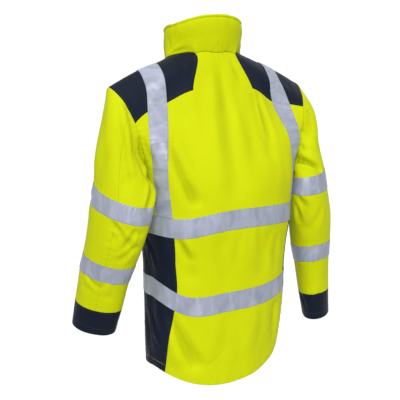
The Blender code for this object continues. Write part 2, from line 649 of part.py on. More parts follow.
def add_slider(cloth, collection, finish):
    """The zip's slider and its pull tab, both placed on an empty on the tab's hinge axis."""
    strip = cloth.points[np.unique(cloth.cells[cloth.piece == "zip"])]
    strip = strip[np.argsort(strip[:, 2])]
    top, below = strip[-2:].mean(axis=0), strip[-4:-2].mean(axis=0)
    up = (top - below) / np.linalg.norm(top - below)
    width, depth, length = SLIDER
    middle = (top + below) / 2
    lean = math.atan2(-up[1], up[2])
    hinge = bpy.data.objects.new("zip_hinge", None)
    out = np.array([0, -up[2], up[1]])
    reach = GAP + depth + BRIDGE_REACH / 2 - BRIDGE_WALL / 2
    hinge.location = middle + out * reach
    hinge.rotation_euler = (lean, 0, 0)
    collection.objects.link(hinge)
    face = BRIDGE_REACH / 2 - BRIDGE_WALL / 2
    foot = BRIDGE_WALL * 1.2
    boxes = [
        ((0, face + depth / 2, 0), (width, depth, length)),
        ((0, -BRIDGE_REACH / 2, 0), (BRIDGE_WIDTH, BRIDGE_WALL, length * 0.5)),
        ((0, 0, length * 0.25 - foot / 2), (BRIDGE_WIDTH, BRIDGE_REACH + BRIDGE_WALL, foot)),
        ((0, 0, foot / 2 - length * 0.25), (BRIDGE_WIDTH, BRIDGE_REACH + BRIDGE_WALL, foot)),
    ]
    slider = add_object("zip_slider", boxes_mesh("zip_slider", boxes, 0.0002), finish, collection)
    slider.parent = hinge
    eye_width, eye_length = PULL_EYE
    bar = PULL_THICKNESS
    rail = (PULL_WIDTH - eye_width) / 2
    plate = PULL_LENGTH - bar - eye_length
    boxes = [
        ((0, 0, 0), (PULL_WIDTH, PULL_THICKNESS, bar)),
        ((rail / 2 - PULL_WIDTH / 2, 0, -eye_length / 2), (rail, PULL_THICKNESS, eye_length + bar)),
        ((PULL_WIDTH / 2 - rail / 2, 0, -eye_length / 2), (rail, PULL_THICKNESS, eye_length + bar)),
        ((0, 0, -eye_length - plate / 2), (PULL_WIDTH, PULL_THICKNESS, plate)),
    ]
    pull = add_object("zip_pull", boxes_mesh("zip_pull", boxes, 0.0002), finish, collection)
    pull.parent = hinge


def main():
    for found in list(bpy.data.objects):
        bpy.data.objects.remove(found)
    collection = bpy.data.collections.new("work_jacket")
    bpy.context.scene.collection.children.link(collection)
    yellow = material("hi_vis_yellow", YELLOW, 0.62)
    navy = material("navy_cloth", NAVY, 0.70)
    silver = material("retroreflective_tape", SILVER, 0.45)
    steel = material("zip_metal", STEEL, 0.35, metallic=1.0)
    cloth = make_cloth()
    navy_pieces = ("side_", "shoulder_", "cuff_", "zip")
    for name in sorted(set(cloth.piece)):
        finish = navy if name.startswith(navy_pieces) else yellow
        thickness = {"collar": COLLAR_CLOTH, "zip": ZIP_THICKNESS}.get(name, CLOTH)
        add_wall(cloth, str(name), cloth.piece == name, 0.0, thickness, finish, collection)
    for name in sorted(set(cloth.tape) - {""}):
        add_wall(cloth, str(name), cloth.tape == name, GAP + TAPE, TAPE, silver, collection)
    add_slider(cloth, collection, steel)


main()
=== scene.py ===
"""Looks of the hi-vis work jacket: cloth shells with creases, tapes, stitching and zip.

The garment's base surface is lofted from the same sizes as its solids, with finer cells. The main
folds of the solids are pressed into it, then the creases placed one by one, the puckers along the
seams and a soft unevenness. Every sewn piece is then cut out of that one net as a thin closed
shell, so that neighbouring pieces meet in a seam.
"""

import math

import bpy
import numpy as np
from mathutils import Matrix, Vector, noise
from mathutils.bvhtree import BVHTree
from mathutils.kdtree import KDTree


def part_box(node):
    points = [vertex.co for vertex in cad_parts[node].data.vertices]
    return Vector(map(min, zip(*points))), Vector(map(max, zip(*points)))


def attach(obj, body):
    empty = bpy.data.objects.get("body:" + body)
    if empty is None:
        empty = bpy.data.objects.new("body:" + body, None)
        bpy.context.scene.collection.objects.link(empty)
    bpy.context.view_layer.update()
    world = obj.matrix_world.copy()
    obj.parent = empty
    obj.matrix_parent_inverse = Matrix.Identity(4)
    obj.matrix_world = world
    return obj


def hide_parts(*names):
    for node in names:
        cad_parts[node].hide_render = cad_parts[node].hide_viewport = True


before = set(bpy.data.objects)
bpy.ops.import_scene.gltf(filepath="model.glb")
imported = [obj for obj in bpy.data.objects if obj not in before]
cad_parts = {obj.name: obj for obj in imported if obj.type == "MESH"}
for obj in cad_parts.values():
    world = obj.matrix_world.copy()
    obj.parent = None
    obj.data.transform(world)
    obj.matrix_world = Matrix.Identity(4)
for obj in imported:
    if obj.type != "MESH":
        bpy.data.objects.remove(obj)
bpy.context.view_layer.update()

# ---------------------------------------------------------------- sizes

CLOTH, COLLAR_CLOTH = 0.0020, 0.0040     # thickness
TAPE_GAP, TAPE_TOP = 0.00025, 0.0010     # the tape's two faces above the cloth
SEAM_GAP = 0.00015                       # from a piece's edge to the middle of its seam
WELD = 1e-5                              # points nearer than about this are one
ZIP_HALF_WIDTH, ZIP_COLUMNS = 0.007, 9   # half the zip's tape, and the net's lines along it

NECK_REACH = 0.5                         # of a span: where the slope at the neck seams is taken
CELL = 0.0043                            # size of the net's cells away from seams
COARSE_CELLS = 2                         # cells of the coarse net in each span
NEAR_SEAM = (0.0012, 0.0027, 0.0052)     # extra lines of the net beside each seam
# How far a piece's face drops at its edge, by the distance from it
SEAM_ROLL = ((0.0, 0.0007), (0.0012, 0.0002), (0.0027, 0.0), (0.0050, -0.0001), (0.0080, 0.0))
LONG_SEAM_ROLL = ((0.0, 0.0003), (0.0012, 0.0001), (0.0027, 0.0))
COLLAR_ROLL = ((0.0, 0.0010), (0.0012, 0.0004), (0.0027, 0.0))
TAPE_ROLL = ((0.0, 0.0003), (0.0015, 0.0))

# name, z_back, z_side, z_front, half_width, back_depth, front_depth, centre_y, corner, lean, sag
RINGS = (
    ("hem",         -0.835, -0.767, -0.771, 0.187, 0.124, 0.120, 0.036, 2.25, 0.14, 0.0000),
    ("low_bottom",  -0.640, -0.602, -0.567, 0.198, 0.132, 0.130, 0.046, 2.25, 0.02, 0.0225),
    ("low_top",     -0.590, -0.552, -0.517, 0.199, 0.133, 0.130, 0.047, 2.25, 0.02, 0.0225),
    ("waist",       -0.505, -0.485, -0.470, 0.205, 0.136, 0.134, 0.050, 2.25, 0.02, 0.0190),
    ("high_bottom", -0.430, -0.436, -0.428, 0.212, 0.138, 0.137, 0.053, 2.30, 0.02, 0.0150),
    ("high_top",    -0.380, -0.386, -0.378, 0.215, 0.138, 0.138, 0.053, 2.30, 0.02, 0.0150),
    ("underarm",    -0.300, -0.296, -0.296, 0.224, 0.132, 0.136, 0.050, 2.50, 0.00, 0.0000),
)
SAG_ANGLE, SAG_SPREAD = 44.0, 27.0       # where the back sags, left of its centre, and how broadly
RISE_POWER = 1.6                         # the higher, the closer to the centre a ring's height changes

# name, panel, brace_in, brace_out, armhole: angles of the seams from the centre back
SEAM_ANGLES = (
    ("hem",         24, 69, 77, 84),
    ("low_bottom",  24, 57, 71, 82),
    ("low_top",     24, 54, 71, 82),
    ("waist",       24, 55, 72, 82),
    ("high_bottom", 24, 55, 73, 82),
    ("high_top",    24, 55, 73, 82),
    ("underarm",    25, 55, 72, 81),
)
SIDE_ANGLE = 90.0

# name, centre, panel, brace_in, brace_out, armhole: places on the same seams above the arms
BACK_LEVELS = (
    ("blade", (0, 0.152, -0.215), (0.092, 0.148, -0.215), (0.186, 0.127, -0.212),
     (0.230, 0.112, -0.212), (0.248, 0.098, -0.210)),
    ("yoke", (0, 0.096, -0.078), (0.091, 0.090, -0.081), (0.162, 0.079, -0.114),
     (0.219, 0.082, -0.129), (0.259, 0.091, -0.146)),
    ("nape", (0, 0.062, 0.013), (0.062, 0.053, 0.011), (0.161, 0.061, -0.045),
     (0.209, 0.052, -0.067), (0.277, 0.060, -0.100)),
)
# The ridge of the shoulder begins at the neck, so it has no centre.
RIDGE_LEVEL = ("ridge", (0.114, 0.000, 0.004), (0.159, 0.020, -0.012), (0.208, 0.014, -0.031),
               (0.291, 0.018, -0.0725))
FRONT_LEVELS = (
    ("throat", (0, -0.085, -0.060), (0.070, -0.066, -0.045), (0.160, -0.040, -0.048),
     (0.206, -0.034, -0.066), (0.278, -0.022, -0.100)),
    ("chest", (0, -0.098, -0.160), (0.085, -0.096, -0.160), (0.168, -0.082, -0.150),
     (0.208, -0.068, -0.155), (0.258, -0.040, -0.165)),
)
LEVEL_DROOP = {"yoke": (0, 0.002, 0, 0.007, 0.018), "nape": (0, 0, 0, 0.004, 0.007),
               "ridge": (0, 0.003, 0.004, 0.005)}

# name, x, y, z, tilt, slant, broad, narrow, turn
SLEEVES = {
    "left": (
        ("cap",          0.269,  0.042, -0.203, 62,  0, 0.088, 0.064,   0),
        ("bicep",        0.278,  0.067, -0.285, 20, 14, 0.083, 0.063, -45),
        ("upper_top",    0.286,  0.076, -0.336,  5, 21, 0.086, 0.060, -60),
        ("upper_bottom", 0.294,  0.074, -0.381,  5, 21, 0.085, 0.058, -60),
        ("elbow",        0.300,  0.062, -0.438,  5, 20, 0.078, 0.056, -56),
        ("lower_top",    0.305,  0.036, -0.502,  3, 19, 0.070, 0.054, -52),
        ("lower_bottom", 0.308,  0.017, -0.543,  2, 20, 0.067, 0.052, -52),
        ("cuff_top",     0.312, -0.016, -0.626,  0, 17, 0.063, 0.047, -54),
        ("cuff_bottom",  0.314, -0.043, -0.691,  0, 18, 0.059, 0.046, -50),
    ),
    "right": (
        ("cap",          0.269,  0.042, -0.197, 62,  0, 0.088, 0.064,   0),
        ("bicep",        0.270,  0.060, -0.258, 30,  3, 0.084, 0.058, -40),
        ("upper_top",    0.277,  0.073, -0.303, 10,  5, 0.084, 0.056, -52),
        ("upper_bottom", 0.285,  0.077, -0.354,  7,  5, 0.083, 0.055, -50),
        ("elbow",        0.299,  0.072, -0.431,  7,  3, 0.078, 0.058, -46),
        ("lower_top",    0.314,  0.058, -0.505,  7,  1, 0.072, 0.055, -42),
        ("lower_bottom", 0.324,  0.050, -0.551,  7,  1, 0.069, 0.050, -42),
        ("cuff_top",     0.342,  0.038, -0.647,  6,  4, 0.063, 0.042, -42),
        ("cuff_bottom",  0.360,  0.028, -0.722,  8,  4, 0.058, 0.036, -45),
    ),
}
# The gap between sleeve and body, its growth away from the armhole, the passes that open it, and the
# samples of each step of the armhole's loop
CLEARANCE, CLEARANCE_SLOPE, CLEARING_PASSES, LOOP_STEPS = 0.007, 0.36, 6, 8
OVER_BODY, OVER_EDGE = 0.012, 0.001      # how far beside a body's point is still over it, and at its edge
BACK_SLEEVE_SEAM, FRONT_SLEEVE_SEAM = 53.0, 285.0       # angles round the sleeve from its outer side

# name, z_back, z_side, z_front, half_width, y_back, y_front, corner. The stand is drawn in up to 4 mm
# at the foot against the solids, so that it stands up straighter.
COLLAR = (
    ("stand", 0.050, 0.042, -0.014, 0.1090, 0.069, -0.089, 2.05),
    ("fold",  0.103, 0.078,  0.030, 0.1055, 0.0735, -0.090, 2.2),
    ("top",   0.113, 0.087,  0.040, 0.1020, 0.070, -0.091, 2.2),
)

# The padded roll along the collar's top, which fades over its end at the zip
ROLL_WIDTH, ROLL_HEIGHT, ROLL_END = 0.0095, 0.0026, 0.020
ROLL_GROOVE, ROLL_GROOVE_WIDTH = 0.0012, 0.0016

# name, start, end, width, depth in millimetres: the folds of the solids. Depth below zero stands out.
FOLDS = (
    ("blade_middle",      (35, 125, -150), (20, 188, -335), 30, 5),
    ("blade_crest",       (-10, 130, -160), (-45, 186, -334), 28, -3),
    ("blade_right",       (-95, 100, -110), (-105, 152, -240), 22, 6),
    ("blade_left",        (133, 110, -150), (130, 168, -350), 26, 5),
    ("waist_left",        (173, 140, -467), (142, 152, -545), 22, 7),
    ("waist_middle",      (62, 185, -474), (48, 180, -558), 24, 4),
    ("waist_right",       (-80, 182, -465), (-60, 178, -550), 22, 4),
    ("skirt_left",        (152, 138, -655), (118, 146, -775), 22, 9),
    ("skirt_left_crest",  (188, 86, -650), (160, 112, -760), 20, -5),
    ("skirt_middle",      (26, 176, -667), (0, 165, -784), 28, 4),
    ("skirt_right",       (-120, 152, -660), (-90, 150, -760), 24, 5),
    ("side_left",         (200, 60, -500), (192, 50, -700), 18, 4),
    ("side_right",        (-200, 50, -480), (-190, 60, -680), 18, 4),
    ("front_left",        (110, -82, -230), (85, -86, -420), 24, 5),
    ("front_right",       (-125, -76, -210), (-95, -84, -400), 24, 5),
    ("front_skirt_left",  (105, -74, -600), (90, -70, -740), 24, 6),
    ("front_skirt_right", (-90, -78, -620), (-110, -64, -750), 24, 6),
    ("left_cap_crest",    (284, 94, -140), (293, 135, -275), 13, -6),
    ("left_cap_pleat",    (300, 100, -145), (307, 130, -300), 14, 6),
    ("left_cap_outer",    (340, 90, -180), (350, 56, -310), 28, 5),
    ("left_armpit",       (262, 122, -235), (240, 126, -300), 13, 8),
    ("left_elbow_upper",  (330, 112, -412), (275, 140, -430), 12, 6),
    ("left_elbow_lower",  (325, 112, -440), (280, 124, -468), 12, 6),
    ("left_forearm",      (352, 8, -575), (318, 45, -596), 12, 4),
    ("right_armpit",      (-232, 120, -270), (-282, 140, -290), 10, 9),
    ("right_cap_pleat",   (-250, 104, -200), (-275, 128, -225), 12, 5),
    ("right_elbow_upper", (-240, 120, -385), (-252, 112, -450), 13, 8),
    ("right_elbow_lower", (-300, 122, -420), (-262, 90, -470), 13, 5),
    ("right_forearm",     (-280, 60, -570), (-300, 75, -625), 13, 5),
)

# Spans of the net, each named for the seam or section at its end, and their usual widths, which set
# how many cells each takes
COLUMN_SPANS = (("panel", 0.092), ("brace_in", 0.090), ("brace_out", 0.050), ("armhole", 0.026))
SIDE_SPANS = (("back", 0.024), ("front", 0.024))
RING_SPANS = (("low_bottom", 0.186), ("low_top", 0.050), ("waist", 0.083), ("high_bottom", 0.075),
              ("high_top", 0.050), ("underarm", 0.080))
BACK_SPANS = (("blade", 0.086), ("yoke", 0.150), ("nape", 0.098))
STRAP_SPANS = (("ridge", 0.060), ("throat", 0.060))
FRONT_SPANS = (("chest", 0.105), ("underarm", 0.140))
SLEEVE_SPANS = (("cap", 0.095), ("bicep", 0.085), ("upper_top", 0.052), ("upper_bottom", 0.048),
                ("elbow", 0.056), ("lower_top", 0.068), ("lower_bottom", 0.046), ("cuff_top", 0.088),
                ("cuff_bottom", 0.068))
COLLAR_SPANS = (("stand", 0.036), ("fold", 0.044), ("top", 0.028))


# ---------------------------------------------------------------- curves and nets

def smooth(knots, values, at):
    """Cubic through the values at the knots, each slope taken from a parabola through neighbours."""
    knots, values, at = (np.asarray(given, float) for given in (knots, values, at))
    along = (-1,) + (1,) * (values.ndim - 1)
    gaps = np.diff(knots)
    gap = gaps.reshape(along)
    rises = np.diff(values, axis=0) / gap
    inner = (rises[:-1] * gap[1:] + rises[1:] * gap[:-1]) / (gap[1:] + gap[:-1])
    slopes = np.concatenate([2 * rises[:1] - inner[:1], inner, 2 * rises[-1:] - inner[-1:]])
    span = np.clip(np.searchsorted(knots, at, side="right") - 1, 0, len(gaps) - 1)
    t = ((at - knots[span]) / gaps[span]).reshape(along)
    step = gaps[span].reshape(along)
    return ((1 + 2 * t) * (1 - t) ** 2 * values[span] + t * (1 - t) ** 2 * step * slopes[span]
            + t * t * (3 - 2 * t) * values[span + 1] - t * t * (1 - t) * step * slopes[span + 1])


def span_steps(spans, coarse=False):
    """0 to len(spans) in cells of about CELL, with closer lines beside the seams at whole numbers."""
    made = [0.0]
    for number, (_, width) in enumerate(spans):
        if coarse:
            made += list(number + np.arange(1, COARSE_CELLS + 1) / COARSE_CELLS)
            continue
        near = np.array([distance / width for distance in NEAR_SEAM if distance < width / 4])
        first = near[-1]
        count = max(1, round((1 - 2 * first) * width / CELL))
        inner = np.linspace(first, 1 - first, count + 1)
        made += list(number + np.concatenate([near[:-1], inner, 1 - near[:-1][::-1], [1.0]]))
    return np.array(made)


def mark(at, spans, name):
    """Index of the line at the end of the span of this name."""
    number = 1 + [span[0] for span in spans].index(name)
    return int(np.abs(at - number).argmin())


def stations(knots, at):
    """Where whole and part numbers of spans lie along the knots."""
    return np.interp(at, np.arange(len(knots)), knots)


def lengths(points):
    """Lengths walked along the rows, each leg the mean over the columns."""
    legs = np.linalg.norm(np.diff(points, axis=0), axis=-1)
    return np.concatenate([[0.0], np.cumsum(legs.reshape(len(legs), -1).mean(axis=1))])


def at_lengths(at, walked, values):
    """Values of three columns, known at the walked lengths, read at others."""
    return np.stack([np.interp(at, walked, values[:, axis]) for axis in range(3)], axis=1)


def unit(vectors):
    return vectors / np.linalg.norm(vectors, axis=-1, keepdims=True)


def net_facing(net):
    """A vector square to the net at each point, as long as its cells are large."""
    return np.cross(np.gradient(net, axis=0), np.gradient(net, axis=1))


def ring_points(ring, angles, side):
    """Points of one ring at angles from the centre back, for side +1 (left) or -1."""
    _, z_back, z_side, z_front, half_width, back, front, centre_y, corner, lean, sag = ring
    sine, cosine = np.sin(np.radians(angles)), np.cos(np.radians(angles))
    x = half_width * np.abs(sine) ** (2 / corner)
    depth = np.where(cosine > 0, back, front) * np.sign(cosine)
    y = centre_y + depth * np.abs(cosine) ** (2 / corner)
    end = np.where(cosine > 0, z_back, z_front)
    z = z_side + (end - z_side) * np.abs(cosine) ** RISE_POWER
    z = z - lean * side * x - sag * np.exp(-((side * angles - SAG_ANGLE) / SAG_SPREAD) ** 2)
    return np.stack([x, y, z], axis=-1)


def seam_spread(seams, at):
    """Angles of the columns on one ring, carried over the centre to the other half."""
    named = [0, *seams[1:]]
    return smooth([-1, 0, 1, 2, 3, 4, 5], [-named[1], *named, SIDE_ANGLE], at)


def drooped(level, side):
    """A level's places, lower on the left and higher on the right by its droop."""
    points = np.array(level[1:], float)
    points[:, 2] -= side * np.array(LEVEL_DROOP.get(level[0], np.zeros(len(points))))
    return points


def level_points(level, at, side):
    """Points of one level above the arms, its curve carried over the centre to the other half."""
    points = drooped(level, side)
    mirrored = points[1:2] * [-1, 1, 1]
    return smooth([-1, 0, 1, 2, 3, 4], np.concatenate([mirrored, points]), at)


def loft_rows(side, at):
    """Control rows from the back hem over the shoulder to the front hem, seen as if on +X."""
    panel = mark(at, COLUMN_SPANS, "panel")
    pairs = list(zip(RINGS, SEAM_ANGLES))
    rows = [ring_points(ring, seam_spread(seams, at), side) for ring, seams in pairs]
    rows += [level_points(level, at, side) for level in BACK_LEVELS]
    ridge = np.zeros((len(at), 3))
    ridge[panel:] = smooth([1, 2, 3, 4], drooped(RIDGE_LEVEL, side), at[panel:])
    rows += [ridge] + [level_points(level, at, side) for level in FRONT_LEVELS]
    rows += [ring_points(ring, 180 - seam_spread(seams, at), side) for ring, seams in pairs[::-1]]
    return np.array(rows)


class Half:
    """Nets of one side of the body, as if on +X: rows hem to neck, columns centre to armhole."""

    def __init__(self, side, coarse=False):
        at = span_steps(COLUMN_SPANS, coarse)
        self.columns, self.panel = at, mark(at, COLUMN_SPANS, "panel")
        self.back_rows = span_steps(RING_SPANS + BACK_SPANS, coarse)
        self.front_rows = span_steps(FRONT_SPANS + RING_SPANS[::-1], coarse)
        strap_rows = span_steps(STRAP_SPANS, coarse)
        whole = loft_rows(side, at)
        seam = mark(at, COLUMN_SPANS, "brace_in")
        # Both halves share their stations, or their rows would not meet at the centre.
        knots = (lengths(whole[:, seam]) + lengths(loft_rows(-side, at)[:, seam])) / 2
        nape = len(RINGS) + len(BACK_LEVELS) - 1
        throat = nape + 2
        back_at = stations(knots[:nape + 1], self.back_rows)
        strap_at = stations(knots[nape:throat + 1], strap_rows)
        front_at = stations(knots[throat:], self.front_rows)
        all_at = np.concatenate([back_at, strap_at[1:-1], front_at])
        self.strap = smooth(knots, whole[:, self.panel:], all_at)
        self.nape = len(back_at) - 1
        self.ridge = self.nape + mark(strap_rows, STRAP_SPANS, "ridge")
        self.throat = self.nape + len(strap_at) - 1
        # Between the neck seams there is no cloth: a point past each seam keeps the slope there.
        over_back, over_front = whole[:nape + 2].copy(), whole[nape + 1:].copy()
        over_back[-1] = whole[nape] + NECK_REACH * (whole[nape] - whole[nape - 1])
        over_front[0] = whole[throat] + NECK_REACH * (whole[throat] - whole[throat + 1])
        self.back = smooth(knots[:nape + 2], over_back[:, :self.panel + 1], back_at)
        self.front = smooth(knots[nape + 1:], over_front[:, :self.panel + 1], front_at)
        self.join_panels(at[:self.panel + 1])
        self.add_flank(side, knots, coarse)

    def join_panels(self, at):
        """Brings the back and the front to the strap's inner edge, and the front to the zip."""
        # What the nets differ by at the seam is spread over the whole panel.
        share = (at ** 2 * (3 - 2 * at))[None, :, None]
        self.back += share * (self.strap[:self.nape + 1, :1] - self.back[:, -1:])
        self.front += share * (self.strap[self.throat:, :1] - self.front[:, -1:])
        self.back[:, -1] = self.strap[:self.nape + 1, 0]
        self.front[:, -1] = self.strap[self.throat:, 0]
        self.front[:, :, 0] += ZIP_HALF_WIDTH * (1 - at)

    def add_flank(self, side, knots, coarse):
        """The net under the arm, between the lines that run down from the armhole."""
        at = span_steps(SIDE_SPANS, coarse) / len(SIDE_SPANS)
        self.middle = mark(at * len(SIDE_SPANS), SIDE_SPANS, "back")
        rows = []
        for ring, (*_, armhole) in zip(RINGS, SEAM_ANGLES):
            rows.append(ring_points(ring, armhole + (180 - 2 * armhole) * at, side))
        rows.append(2 * rows[-1] - rows[-2])
        ring_at = stations(knots[:len(RINGS)], span_steps(RING_SPANS, coarse))
        self.side = smooth(knots[:len(RINGS) + 1], rows, ring_at)
        self.under = len(self.side) - 1
        self.side[:, 0] = self.strap[:self.under + 1, -1]
        self.side[:, -1] = self.strap[::-1][:self.under + 1, -1]

    def armhole(self):
        """The loop from the shoulder tip down the back, under the arm and up the front."""
        edge = self.strap[:, -1]
        back = edge[self.under:self.ridge + 1][::-1]
        front = edge[self.ridge + 1:len(edge) - 1 - self.under][::-1]
        return np.concatenate([back, self.side[-1, 1:], front]), len(back) - 1 + self.middle

    def neck(self):
        """From the centre back round the side of the neck to the zip."""
        side = self.strap[self.nape:self.throat + 1, 0]
        return np.concatenate([self.back[-1], side[1:], self.front[0, ::-1][1:]])


def sleeve_net(loop, bottom, sections, at):
    """Rows from the armhole loop to the cuff's edge, and the angle of each column."""
    walked = lengths(np.vstack([loop, loop[:1]])[:, None])
    half, total = walked[bottom], walked[-1]
    walked = walked[:-1]
    angles = np.where(walked <= half, 180 * walked / half,
                      180 + 180 * (walked - half) / (total - half))
    rows = [loop]
    for _, x, y, z, tilt, slant, broad, narrow, turn in sections:
        tilt, slant = math.radians(tilt), math.radians(slant)
        outwards = np.array([math.cos(tilt), 0, math.sin(tilt)])
        along = np.array([math.sin(tilt), 0, -math.cos(tilt)])
        backwards = np.array([0, math.cos(slant), 0]) + along * math.sin(slant)
        angle, facing = np.radians(angles), np.radians(angles - turn)
        radius = 1 / np.hypot(np.cos(facing) / broad, np.sin(facing) / narrow)
        ring = np.outer(radius * np.cos(angle), outwards) + np.outer(radius * np.sin(angle), backwards)
        rows.append(ring + [x, y, z])
    knots = lengths(np.array(rows))
    return smooth(knots, rows, stations(knots, at)), angles


def clearing_moves(sleeve, loop, half):
    """How far each point of a coarse sleeve moves so that it keeps clear of the body."""
    nets = (half.back, half.strap, half.front, half.side)
    body = np.concatenate([dense(net) for net in nets])
    facing = np.concatenate([dense_normals(net) for net in nets])
    shares = np.linspace(0, 1, LOOP_STEPS, endpoint=False)[:, None, None]
    loop = (loop * (1 - shares) + np.roll(loop, -1, axis=0) * shares).reshape(-1, 3)
    # Above the arm a point past the armhole's edge is over no part of the body; below it hangs beside.
    at_edge = np.linalg.norm(body[:, None] - loop[None], axis=2).min(axis=1) < OVER_BODY
    at_edge &= body[:, 2] > loop[:, 2].mean()
    moved = sleeve.copy()
    for _ in range(CLEARING_PASSES):
        points = moved[1:].reshape(-1, 3)
        nearest = np.linalg.norm(points[:, None] - body[None], axis=2).argmin(axis=1)
        from_loop = np.linalg.norm(points[:, None] - loop[None], axis=2).min(axis=1)
        wanted = np.minimum(CLEARANCE, CLEARANCE_SLOPE * from_loop)
        offset = points - body[nearest]
        away = (offset * facing[nearest]).sum(axis=1)
        beside = np.sqrt((offset ** 2).sum(axis=1) - away ** 2)
        over = beside < np.where(at_edge[nearest], OVER_EDGE, OVER_BODY)
        points = points + facing[nearest] * (over * np.maximum(wanted - away, 0))[:, None]
        moved[1:] = points.reshape(moved[1:].shape)
    return moved - sleeve


def dense(net):
    """The net's points with three more in every gap each way."""
    for axis in (0, 1):
        at = np.arange(4 * (net.shape[axis] - 1) + 1) / 4
        lower = np.minimum(at.astype(int), net.shape[axis] - 2)
        share = (at - lower).reshape((-1, 1, 1) if axis == 0 else (1, -1, 1))
        net = np.take(net, lower, axis) * (1 - share) + np.take(net, lower + 1, axis) * share
    return net.reshape(-1, 3)


def dense_normals(net):
    return unit(dense(net_facing(net)))


def rolled(net):
    """The collar's net with a padded roll along its top edge and a stitched groove under the roll."""
    normal = net_facing(net)
    normal[:, (0, -1), 0] = 0
    normal = unit(normal)
    legs = np.linalg.norm(np.diff(net, axis=0), axis=2)[::-1]
    below = np.concatenate([np.zeros((1, net.shape[1])), np.cumsum(legs, axis=0)])[::-1]
    across = np.clip(2 * below / ROLL_WIDTH - 1, -1, 1)
    height = ROLL_HEIGHT * np.sqrt(1 - across ** 2)
    height -= ROLL_GROOVE * np.exp(-((below - ROLL_WIDTH) / ROLL_GROOVE_WIDTH) ** 2)
    to_zip = np.linalg.norm(net - net[:, -1:], axis=2)
    return net + normal * (height * np.clip(to_zip / ROLL_END, 0, 1))[..., None]


def collar_net(loop, at):
    """Rows from the neck seam to the collar's top, which turn in to the zip over the last 60 degrees."""
    angles = 180 * lengths(loop) / lengths(loop)[-1]
    rows = [loop]
    for _, z_back, z_side, z_front, half_width, y_back, y_front, corner in COLLAR:
        depth, centre_y = (y_back - y_front) / 2, (y_back + y_front) / 2
        ring = ("", z_back, z_side, z_front, half_width, depth, depth, centre_y, corner, 0.0, 0.0)
        rows.append(ring_points(ring, angles, 1))
        rows[-1][:, 0] += ZIP_HALF_WIDTH * np.clip(angles / 60 - 2, 0, 1) ** 2
    knots = lengths(np.array(rows))
    return smooth(knots, rows, stations(knots, at))


# ---------------------------------------------------------------- the whole cloth

class Cloth:
    """All cells of the jacket on shared points, with the piece, tape and flat place of each."""

    def __init__(self):
        self.nets = []

    def add(self, net, name, region, mirror=False, closed=False):
        """Keeps a net. name(row, column) gives a cell's piece and tape."""
        rows, columns = net.shape[0] - 1, net.shape[1] - (0 if closed else 1)
        named = np.array([[name(row, column) for column in range(columns)] for row in range(rows)])
        flat = flat_places(net, closed)
        if mirror:
            net = net * [-1, 1, 1]
        self.nets.append((net, flat, named, region, mirror, closed))

    def weld(self):
        """Joins the nets: points that lie together become one."""
        points, cells, flats, pieces, tapes, regions, start = [], [], [], [], [], [], 0
        for net, flat, named, region, mirror, closed in self.nets:
            rows, columns = net.shape[:2]
            ids = start + np.arange(rows * columns).reshape(rows, columns)
            if closed:
                ids = np.concatenate([ids, ids[:, :1]], axis=1)
            corners = [ids[:-1, 1:], ids[:-1, :-1], ids[1:, :-1], ids[1:, 1:]]
            places = [flat[:-1, 1:], flat[:-1, :-1], flat[1:, :-1], flat[1:, 1:]]
            if mirror:
                corners, places = corners[::-1], places[::-1]
            cells.append(np.stack(corners, axis=-1).reshape(-1, 4))
            flats.append(np.stack(places, axis=2).reshape(-1, 4, 2))
            pieces.append(named[..., 0].reshape(-1))
            tapes.append(named[..., 1].reshape(-1))
            regions += [region] * (rows * columns)
            points.append(net.reshape(-1, 3))
            start += rows * columns
        points = np.concatenate(points)
        keys = np.round(points / WELD).astype(np.int64)
        _, first, same = np.unique(keys, axis=0, return_index=True, return_inverse=True)
        same = same.reshape(-1)
        self.points = points[first]
        self.cells = same[np.concatenate(cells)]
        self.flat = np.concatenate(flats)
        self.piece, self.tape = np.concatenate(pieces), np.concatenate(tapes)
        self.region = np.array(regions)
        self.in_region = {}
        for region in set(regions):
            inside = np.zeros(len(self.points), bool)
            inside[same[self.region == region]] = True
            self.in_region[region] = inside
        self.base_normal = self.normals()

    def normals(self):
        corners = self.points[self.cells]
        across = np.cross(corners[:, 2] - corners[:, 0], corners[:, 3] - corners[:, 1])
        summed = np.zeros_like(self.points)
        for corner in range(4):
            np.add.at(summed, self.cells[:, corner], across)
        return unit(summed)


def flat_places(net, closed):
    """Where each point lies on the flat cloth, in metres across and along."""
    if closed:
        net = np.concatenate([net, net[:, :1]], axis=1)
    across = np.cumsum(np.linalg.norm(np.diff(net, axis=1), axis=2), axis=1)
    along = np.cumsum(np.linalg.norm(np.diff(net, axis=0), axis=2), axis=0)
    across = np.concatenate([np.zeros((net.shape[0], 1)), across], axis=1)
    along = np.concatenate([np.zeros((1, net.shape[1])), along], axis=0)
    return np.stack([across, along], axis=-1)


